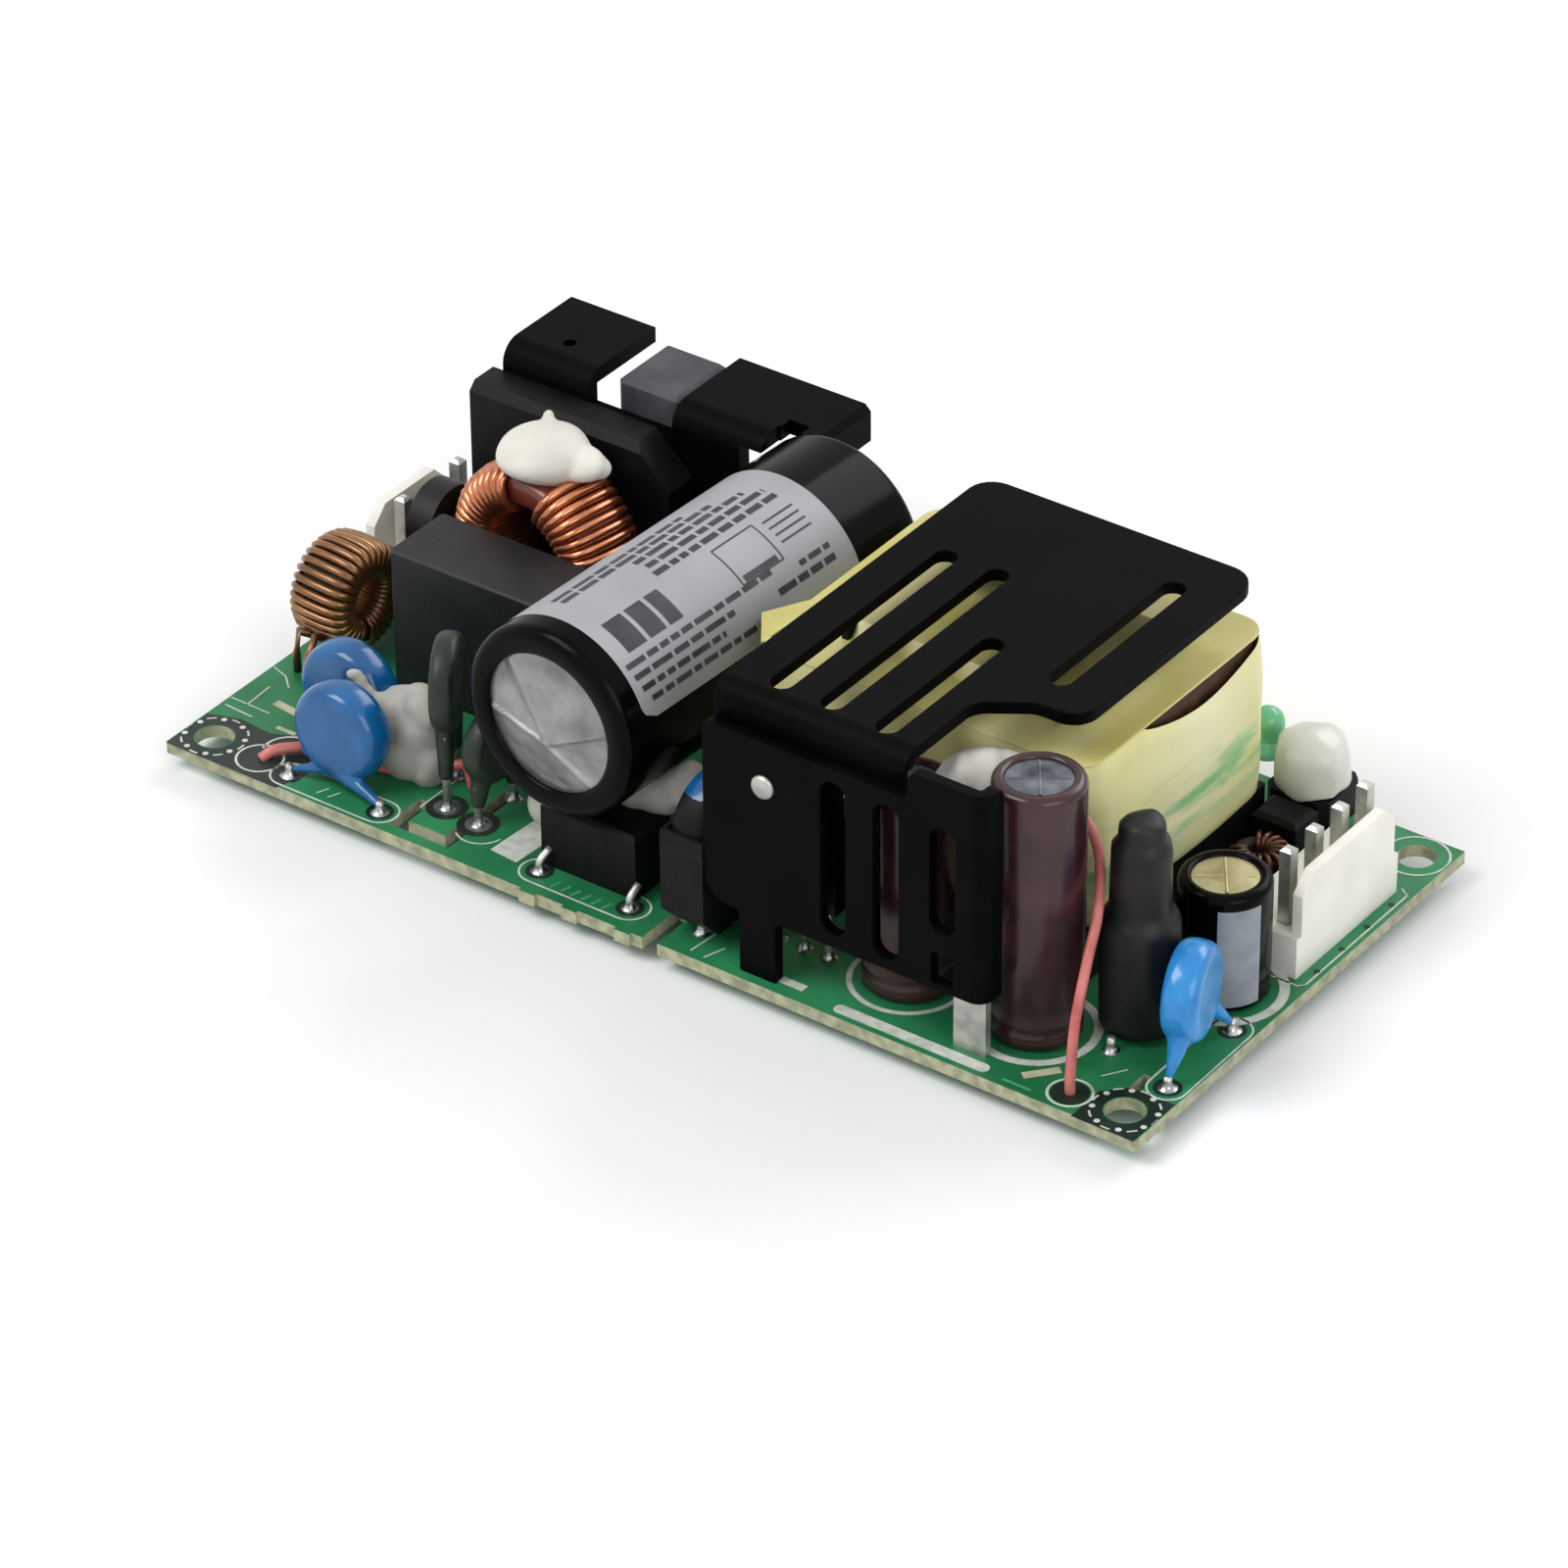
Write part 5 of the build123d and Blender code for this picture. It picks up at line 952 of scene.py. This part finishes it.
bm = bmesh.new()
JOINT = ((0.42, 0.0), (0.2, 0.12), (0.04, 0.45), (0.0, 0.8))
for low, high in islands("component_leads"):
    mid = (low + high) / 2
    r = (high.x - low.x) / 2 * 0.96
    if r > 0.5:
        add_tube(bm, [(mid.x, mid.y, low.z), (mid.x, mid.y, high.z)], r * 1.15, 4)
    elif not beneath(mid, DISC_NODES):
        top = low.z + 1.3 if beneath(mid, ["rod_inductor"], 1.2) else high.z
        add_tube(bm, [(mid.x, mid.y, low.z), (mid.x, mid.y, top)], r, 10)
        add_lathe(bm, [(r + out, up_by) for out, up_by in JOINT], (mid.x, mid.y, low.z), (0, 0, 1), 12, 1)
for x, y in MOVED_FEET:
    add_tube(bm, [(x, y, 1.2), (x, y, 2.3)], 0.36, 10)
    add_lathe(bm, [(0.36 + out * 1.3, up_by) for out, up_by in JOINT], (x, y, 1.2), (0, 0, 1), 14, 1)
for x, y in FILM_FEET:
    add_tube(bm, smooth_path([(x, y, 1.2), (x, y, 2.2), (x * 0.98, y + 1.2, 3.0)], 4), 0.34, 10)
    add_lathe(bm, [(0.36 + out, up_by) for out, up_by in JOINT], (x, y, 1.2), (0, 0, 1), 12, 1)
finish_piece(mesh_piece("leads_form", bm), "tinned", ["component_leads"], extra=("solder",))

bm = bmesh.new()
for low, high in islands("solder_joints"):
    mid = (low + high) / 2
    add_lathe(bm, [(1.0, 0.0), (0.95, -0.12), (0.6, -0.45), (0.42, -0.9), (0.36, -1.25), (0.2, -1.45), (0, -1.5)],
              (mid.x, mid.y, 0), (0, 0, 1), 12)
finish_piece(mesh_piece("joints_form", bm), "solder", ["solder_joints"])

# Sheet metal

SHEET = 1.2
low, high, mid = span("top_heatsink")
plate_top = high.z - SHEET / 2
bend = 1.3
flange_y = low.y
drop = plate_top - bend - low.z
line = flange_y + bend + SHEET / 2
foot_v = line - bend * math.pi / 2 - drop
CUT_X, CUT_Y = 26.3, -13.2
CUT_IN_X, CUT_IN_Y = 30.5, -10.4
FLANGE_RIGHT, FLANGE_REACH, FLANGE_SHORT = 17.4, 25.8, 22.8
short_v = line - bend * math.pi / 2 - (plate_top - bend - FLANGE_SHORT)
top_outline = rounded([
    (low.x, foot_v, 1.2), (FLANGE_RIGHT, foot_v, 1.2), (FLANGE_RIGHT, short_v, 0.2),
    (FLANGE_REACH, short_v, 0.4), (FLANGE_REACH, line - bend * math.pi / 2, 0.0),
    (CUT_X, line - bend * math.pi / 2, 0.3), (CUT_X, CUT_Y, 2.2), (CUT_IN_X, CUT_IN_Y, 2.2),
    (high.x, CUT_IN_Y, 2.4), (high.x, high.y, 2.6), (low.x, high.y, 2.4),
])
TOP_SLOTS = ((11.7, -20.8, 4.7), (16.9, -20.9, 4.8), (22.6, -21.2, -4.3), (30.1, -7.2, 11.6))
top_loops = [top_outline] + [capsule(x, near_y, far_y, 2.1) for x, near_y, far_y in TOP_SLOTS]
bent_sheet("top_plate", top_loops, SHEET, 0.12, line, bend, Matrix.Translation((0, 0, plate_top)),
           "black_anodised", ["top_heatsink"])

low, high, mid = span("front_heatsink")
face_y = low.y + SHEET / 2
STEP_X = 27.5
LEFT_TOP, LEG_LEFT, LEG_RIGHT = 24.9, 10.5, 14.2
PLATE_LOW = 7.3
side_bend = 0.9
side_line = high.x - side_bend - SHEET / 2
front_outline = rounded([
    (low.x, PLATE_LOW, 2.5), (LEG_LEFT, PLATE_LOW, 0.5), (LEG_LEFT, low.z, 0.2), (LEG_RIGHT, low.z, 0.2),
    (LEG_RIGHT, PLATE_LOW, 0.6), (side_line + side_bend * math.pi / 2 + 1.2, PLATE_LOW, 0.3),
    (side_line + side_bend * math.pi / 2 + 1.2, high.z, 0.8), (STEP_X, high.z, 1.0), (STEP_X, LEFT_TOP, 0.8),
    (low.x, LEFT_TOP, 0.8),
])
FRONT_SLOTS = ((20.1, 8.6, 23.7), (25.4, 8.3, 23.6), (31.0, 13.0, 23.4))
front_loops = [front_outline] + [capsule(x, z0, z1, 2.5) for x, z0, z1 in FRONT_SLOTS]
front_loops.append(rounded([(29.9, 7.9, 0.3), (32.1, 7.9, 0.3), (32.1, 11.0, 0.5), (29.9, 11.0, 0.5)]))
upright = Matrix(((1, 0, 0, 0), (0, 0, -1, face_y), (0, 1, 0, 0), (0, 0, 0, 1)))
bent_sheet("front_plate", front_loops, SHEET, 0.12, side_line, -side_bend, upright,
           "black_anodised", ["front_heatsink"], along=0)

low, high, mid = span("heatsink_rivet")
rivet_r, rivet_l = (high.x - low.x) / 2 * 0.72, high.y - low.y
bm = bmesh.new()
add_lathe(bm, [(0, 0), (rivet_r * 0.6, 0.0), (rivet_r * 0.9, 0.12), (rivet_r, 0.3), (rivet_r, rivet_l), (0, rivet_l)],
          (mid.x, low.y, mid.z), (0, 1, 0), 24)
finish_piece(mesh_piece("rivet_form", bm), "tinned", ["heatsink_rivet"])

# Tape round and over the transformer

low, high, mid = span("transformer_tape")
half_x, half_y = (high.x - low.x) / 2, (high.y - low.y) / 2
BAND_CORNER = 2.6
BAND_LOW = 4.5
SLIT_FROM, SLIT_TO, SLIT_DEEP = -1.4, 17.6, 2.3


def band_point(t):
    """A point and its outward way on the rounded outline, for a turn from 0 to 1."""
    straight_x, straight_y = 2 * (half_x - BAND_CORNER), 2 * (half_y - BAND_CORNER)
    quarter = BAND_CORNER * math.pi / 2
    at = t * (2 * straight_x + 2 * straight_y + 4 * quarter)
    x, y = half_x, -half_y + BAND_CORNER
    heading = 90
    for run in (straight_y, straight_x, straight_y, straight_x):
        if at <= run:
            a = math.radians(heading)
            return Vector((x + at * math.cos(a), y + at * math.sin(a))), Vector((math.sin(a), -math.cos(a)))
        at -= run
        a = math.radians(heading)
        x, y = x + run * math.cos(a), y + run * math.sin(a)
        cx, cy = x - BAND_CORNER * math.sin(a), y + BAND_CORNER * math.cos(a)
        if at <= quarter:
            b = a - math.pi / 2 + at / BAND_CORNER
            return Vector((cx + BAND_CORNER * math.cos(b), cy + BAND_CORNER * math.sin(b))), Vector((math.cos(b), math.sin(b)))
        at -= quarter
        heading += 90
        a += math.pi / 2
        x, y = cx + BAND_CORNER * math.sin(a), cy - BAND_CORNER * math.cos(a)
    return Vector((x, y)), Vector((1, 0))


bm = bmesh.new()
BAND_ROWS = 26
BAND_AROUND = 320
columns = []
for i in range(BAND_AROUND):
    p, way = band_point(i / BAND_AROUND)
    y = mid.y + p.y
    slit = 0.0
    if way.x > 0.7 and SLIT_FROM < y < SLIT_TO:
        slit = SLIT_DEEP * math.sin(math.pi * (y - SLIT_FROM) / (SLIT_TO - SLIT_FROM)) ** 0.8
    top = high.z + 0.15 - slit
    column = []
    for j in range(BAND_ROWS + 1):
        t = j / BAND_ROWS
        z = BAND_LOW + (top - BAND_LOW) * t
        out = 0.2 + 0.3 * math.sin(math.pi * t) - 1.6 * max(0, 0.1 - t) / 0.1 - 0.2 * max(0, t - 0.95) / 0.05
        ripple = noise.noise(Vector((p.x * 0.16, p.y * 0.16, z * 0.3)))
        q = p + way * (out + 0.14 * ripple)
        column.append(bm.verts.new(Vector((mid.x + q.x, mid.y + q.y, z)) * MM))
    columns.append(column)
for i in range(BAND_AROUND):
    a, b = columns[i], columns[(i + 1) % BAND_AROUND]
    for j in range(BAND_ROWS):
        bm.faces.new((a[j], b[j], b[j + 1], a[j + 1]))
finish_piece(mesh_piece("tape_band", bm), "tape_outer", ["transformer_tape"])

bm = bmesh.new()
lid_outline = rounded([(mid.x - half_x, mid.y - half_y, 2.4), (mid.x + half_x, mid.y - half_y, 2.4),
                       (mid.x + half_x, mid.y + half_y, 2.4), (mid.x - half_x, mid.y + half_y, 2.4)])
bm.from_mesh(filled([lid_outline], 0.24, 0.1))
for v in bm.verts:
    v.co.z += (high.z + 0.14) * MM
finish_piece(mesh_piece("tape_lid", bm), "yellow_tape")

bm = bmesh.new()
FLAP = ((1.5, -8.7, 22.1), (-1.2, -4.9, 22.1), (1.9, 0.5, 22.2), (2.4, -6.7, 22.9))
flap = [bm.verts.new(Vector(p) * MM) for p in FLAP]
bm.faces.new((flap[0], flap[1], flap[3]))
bm.faces.new((flap[1], flap[2], flap[3]))
flap_obj = mesh_piece("tape_flap", bm)
thicken = flap_obj.modifiers.new("body", "SOLIDIFY")
thicken.thickness = 0.12 * MM
finish_piece(flap_obj, "yellow_tape", smooth=False)

# Marks on the board: fields of bare mask, pads, printed lines and rings

BOARD_TOP = span("circuit_board")[1].z
EDGE_X, EDGE_Y = 50.7, 25.6
MASK, PADS, INK = 0.012, 0.022, 0.032
marks = bmesh.new()
MARK_LOOKS = ("print", "bare_mask", "pad", "cream", "trace")


def clamp(x, y):
    return max(-EDGE_X, min(EDGE_X, x)), max(-EDGE_Y, min(EDGE_Y - 0.3, y))


def spot(x, y, lift):
    return marks.verts.new(Vector((*clamp(x, y), BOARD_TOP + lift)) * MM)


def stroke(points, width, look="print", lift=INK, closed=False):
    """A printed line through points."""
    index = MARK_LOOKS.index(look)
    pts = [Vector(p) for p in points]
    n = len(pts)
    pairs = []
    for i, p in enumerate(pts):
        ahead = pts[(i + 1) % n] if closed or i < n - 1 else p
        behind = pts[i - 1] if closed or i > 0 else p
        way = (ahead - behind).normalized()
        side = Vector((-way.y, way.x)) * width / 2
        pairs.append((spot(*(p + side), lift), spot(*(p - side), lift)))
    for i in range(n if closed else n - 1):
        a, b = pairs[i], pairs[(i + 1) % n]
        marks.faces.new((a[0], a[1], b[1], b[0])).material_index = index


def arc_stroke(x, y, r, width, start=0, end=360, look="print", lift=INK):
    whole = abs(end - start) >= 360
    steps = max(6, int(abs(end - start) / 9))
    pts = [(x + r * math.cos(math.radians(start + (end - start) * k / steps)),
            y + r * math.sin(math.radians(start + (end - start) * k / steps))) for k in range(steps + (not whole))]
    stroke(pts, width, look, lift, whole)


def pad(x, y, r, look="pad", lift=PADS):
    face = marks.faces.new([spot(px, py, lift) for px, py in circle(x, y, r, 28)])
    face.material_index = MARK_LOOKS.index(look)


def round_ends(x0, y0, x1, y1, r):
    """The outline at one distance round a straight line."""
    a = math.degrees(math.atan2(y1 - y0, x1 - x0))
    turns = [(x1, y1, a - 90 + 15 * k) for k in range(13)] + [(x0, y0, a + 90 + 15 * k) for k in range(13)]
    return [(x + r * math.cos(math.radians(t)), y + r * math.sin(math.radians(t))) for x, y, t in turns]


def bar_mark(x0, y0, x1, y1, width, look="print", lift=INK):
    """A straight mark with round ends."""
    outline = round_ends(x0, y0, x1, y1, width / 2)
    face = marks.faces.new([spot(x, y, lift) for x, y in outline])
    face.material_index = MARK_LOOKS.index(look)


def stadium(x0, y0, x1, y1, r, width):
    """The outline round two feet."""
    stroke(round_ends(x0, y0, x1, y1, r), width, closed=True)


def field(corners, look="bare_mask", holes=(), lift=MASK):
    """A flat field with round holes left open."""
    made = filled([corners] + [circle(*hole) for hole in holes])
    start = len(marks.faces)
    for v in made.vertices:
        v.co.z = (BOARD_TOP + lift) * MM
    marks.from_mesh(made)
    marks.faces.ensure_lookup_table()
    for face in marks.faces[start:]:
        face.material_index = MARK_LOOKS.index(look)


HOLE_X, HOLE_Y, HOLE_R = 47.8, 22.4, 1.85
field([(-50.7, -25.6), (-38.4, -25.6), (-37.4, -22.6), (-38.6, -19.0), (-41.5, -18.1), (-44.2, -19.2), (-47.7, -18.9),
       (-50.7, -19.9)], holes=[(-HOLE_X, -HOLE_Y, HOLE_R)])
field([(44.6, -25.6), (50.7, -25.6), (50.7, -19.4), (46.4, -19.6), (44.6, -21.4)], holes=[(HOLE_X, -HOLE_Y, HOLE_R)])
for x in (-HOLE_X, HOLE_X):
    for k in range(8):
        turn = 45 * k + 22
        pad(x + 2.75 * math.cos(math.radians(turn)), -HOLE_Y + 2.75 * math.sin(math.radians(turn)), 0.27, "print", INK)
        arc_stroke(x, -HOLE_Y, 2.95, 0.18, turn + 14, turn + 31)
    arc_stroke(x, HOLE_Y, 2.9, 0.22)

arc_stroke(-42.4, -22.8, 2.1, 0.22)
arc_stroke(-41.0, -20.6, 2.35, 0.22, 90, 200)
stadium(*FRONT_DISC_FEET[0], *FRONT_DISC_FEET[1], 1.7, 0.2)
stadium(*OUT_DISC_FEET[0], *OUT_DISC_FEET[1], 1.75, 0.2)
stadium(*FILM_FEET[0], *FILM_FEET[1], 1.8, 0.2)
for x, y in MOVED_FEET + FILM_FEET:
    pad(x, y, 1.25, "bare_mask", MASK + 0.004)
    pad(x, y, 0.85)
for x, y in ((-24.4, -19.4), (-20.6, -19.9)):
    pad(x, y, 1.9, "bare_mask", MASK + 0.004)
    pad(x, y, 1.2)
stroke([(-50.6, -16.7), (-46.2, -16.8)], 0.16)
stroke([(-50.3, -17.9), (-47.1, -18.1)], 0.16)
stroke([(-48.9, -13.4), (-48.7, -16.8)], 0.16)
stroke([(-50.6, -10.7), (-48.8, -11.3), (-47.4, -12.6)], 0.16)
stroke([(-46.9, -15.1), (-43.2, -15.5)], 0.9, "cream")
stroke([(-44.3, -18.1), (-42.2, -18.1)], 0.5, "cream")
for x in (-35.0, -33.8):
    stroke([(x, -24.2), (x + 0.5, -23.0)], 0.14)
stroke([(-26.3, -20.8), (-26.3, -13.5)], 0.16)
arc_stroke(-19.9, -20.3, 2.3, 0.18, -130, -10)
field([(-17.4, -22.4), (-14.4, -22.7), (-13.9, -16.4), (-17.0, -16.8)], "print", lift=INK)
for k in range(6):
    stroke([(-9.8 + k * 1.1, -24.0), (-9.5 + k * 1.1, -22.9)], 0.3, "trace")
stroke([(5.5, -24.6), (6.1, -18.9)], 0.16)
stroke([(7.0, -24.8), (7.7, -22.7)], 0.2)
bar_mark(20.7, -24.25, 35.0, -24.25, 1.2)
stroke([(13.6, -23.6), (16.6, -23.6)], 0.9)
arc_stroke(22.8, -17.4, 5.0, 0.5)
arc_stroke(35.3, -16.9, 5.2, 0.8)
stroke([(38.3, -23.3), (40.4, -20.8)], 0.9, "cream")
pad(42.8, -23.0, 1.65, "bare_mask")
arc_stroke(42.8, -23.0, 1.9, 0.24)
arc_stroke(44.8, -3.3, 5.2, 0.9)
stroke([(45.8, 0.4), (49.8, 0.4), (50.3, 1.0), (50.3, 16.9), (49.4, 17.5)], 0.18)
for k in range(4):
    pad(50.0 - 0.02 * k, 3.1 + 3.96 * k, 0.3, "bare_mask", INK + 0.004)
stroke([(45.4, 18.9), (46.6, 18.2)], 0.8, "cream")
stroke([(43.6, -19.6), (44.9, -17.6)], 0.16)
stroke([(40.0, -24.6), (37.2, -24.6)], 0.3, "trace")
mark_obj = mesh_piece("board_marks", marks)
finish_piece(mark_obj, MARK_LOOKS[0], smooth=False, extra=MARK_LOOKS[1:])

# Remaining nodes keep their solids, with softened edges

KEPT = {
    "circuit_board": ("board", 0), "input_header_housing": ("header_plastic", 0.18),
    "input_header_pins": ("tinned", 0.08), "input_fuse": ("fuse_sleeve", 0.3),
    "line_capacitor": ("grey_moulding", 0.16), "bridge_rectifier": ("dark_moulding", 0.2),
    "rear_heatsink": ("black_anodised", 0.16), "transistor_cap": ("grey_rubber", 0.2),
    "power_transistor": ("dark_moulding", 0.15), "film_capacitor": ("dark_moulding", 0.3),
    "disc_capacitor_sleeve": ("dark_moulding", 0.3), "transformer_core": ("ferrite", 0.2),
    "transformer_bobbin": ("dark_moulding", 0.1), "transformer_winding": ("yellow_tape", 0.3),
    "transformer_pins": ("tinned", 0.08),
    "heatsink_foot": ("tinned", 0.08), "output_rectifier": ("dark_moulding", 0.15),
    "trimmer": ("dark_moulding", 0.15),
    "optocoupler": ("dark_moulding", 0.12), "output_header_housing": ("header_plastic", 0.18),
    "output_header_pins": ("tinned", 0.08), "control_chip": ("dark_moulding", 0.1),
    "control_chip_leads": ("tinned", 0.05), "chip_resistors": ("ceramic_chip", 0.06),
}
for node, (look, width) in KEPT.items():
    obj = nodes[node]
    obj.data.materials.clear()
    obj.data.materials.append(MATS[look])
    if width:
        bevel(obj, width)

# Stage

bm = bmesh.new()
SIZE = 3.0
FLOOR = -1.5 * MM
corners = [(-SIZE, -SIZE, FLOOR), (SIZE, -SIZE, FLOOR), (SIZE, SIZE, FLOOR), (-SIZE, SIZE, FLOOR)]
bm.faces.new([bm.verts.new(c) for c in corners])
floor = mesh_piece("floor", bm)
white = bpy.data.materials.new("floor_white")
white.use_nodes = True
tree = white.node_tree
shader = tree.nodes["Principled BSDF"]
shader.inputs["Base Color"].default_value = (0.9, 0.9, 0.9, 1)
shader.inputs["Roughness"].default_value = 0.9
shader.inputs["Specular IOR Level"].default_value = 0.1
floor.data.materials.append(white)

world = bpy.data.worlds.new("studio")
bpy.context.scene.world = world
world.use_nodes = True
tree = world.node_tree
back = tree.nodes["Background"]
back.inputs["Color"].default_value = (1, 1, 1, 1)
back.inputs["Strength"].default_value = 0.5
shown = tree.nodes.new("ShaderNodeBackground")
shown.inputs["Color"].default_value = (1, 1, 1, 1)
shown.inputs["Strength"].default_value = 1.0
ray = tree.nodes.new("ShaderNodeLightPath")
pick = tree.nodes.new("ShaderNodeMixShader")
seen = tree.nodes.new("ShaderNodeMath")
seen.operation = "MAXIMUM"
link(tree, ray.outputs["Is Camera Ray"], seen.inputs[0])
link(tree, ray.outputs["Is Glossy Ray"], seen.inputs[1])
through = tree.nodes.new("ShaderNodeMath")
through.operation = "MAXIMUM"
link(tree, seen.outputs[0], through.inputs[0])
link(tree, ray.outputs["Is Transmission Ray"], through.inputs[1])
link(tree, through.outputs[0], pick.inputs["Fac"])
link(tree, back.outputs["Background"], pick.inputs[1])
link(tree, shown.outputs["Background"], pick.inputs[2])
link(tree, pick.outputs["Shader"], tree.nodes["World Output"].inputs["Surface"])


def lamp(name, place, aim, size, power, tall=None):
    data = bpy.data.lights.new(name, "AREA")
    data.shape = "RECTANGLE"
    data.size = size
    data.size_y = tall or size
    data.energy = power
    obj = bpy.data.objects.new(name, data)
    bpy.context.scene.collection.objects.link(obj)
    obj.location = place
    way = Vector(aim) - Vector(place)
    obj.rotation_euler = way.to_track_quat("-Z", "Y").to_euler()
    return obj


lamp("key", (-0.25, -0.35, 0.55), (0, 0, 0), 0.35, 2.6)
lamp("fill", (0.55, -0.25, 0.35), (0, 0, 0.01), 0.4, 1.25)
lamp("rear", (0.1, 0.55, 0.45), (0, 0, 0.01), 0.5, 1.8, 0.3)

# Camera at the photograph's place

turn, rise, roll = math.radians(36.05), math.radians(33.843), math.radians(-0.471)
right = Vector((math.cos(turn), math.sin(turn), 0))
behind = Vector((math.sin(turn) * math.cos(rise), -math.cos(turn) * math.cos(rise), math.sin(rise)))
above = behind.cross(right)
cam_x = math.cos(roll) * right + math.sin(roll) * above
cam_y = -math.sin(roll) * right + math.cos(roll) * above
camera = bpy.data.objects.new("camera", bpy.data.cameras.new("camera"))
bpy.context.scene.collection.objects.link(camera)
bpy.context.scene.camera = camera
camera.data.sensor_width = 36.0
camera.data.lens = 7804.37 / 1600 * 36.0
camera.data.clip_start = 0.01
camera.data.clip_end = 20
aim = Vector((-2.767, 0.275, 1.2)) * MM
spot = aim + behind * 662.3 * MM
camera.matrix_world = Matrix.Translation(spot) @ Matrix((cam_x, cam_y, behind)).transposed().to_4x4()

bpy.context.scene.view_settings.view_transform = "Standard"
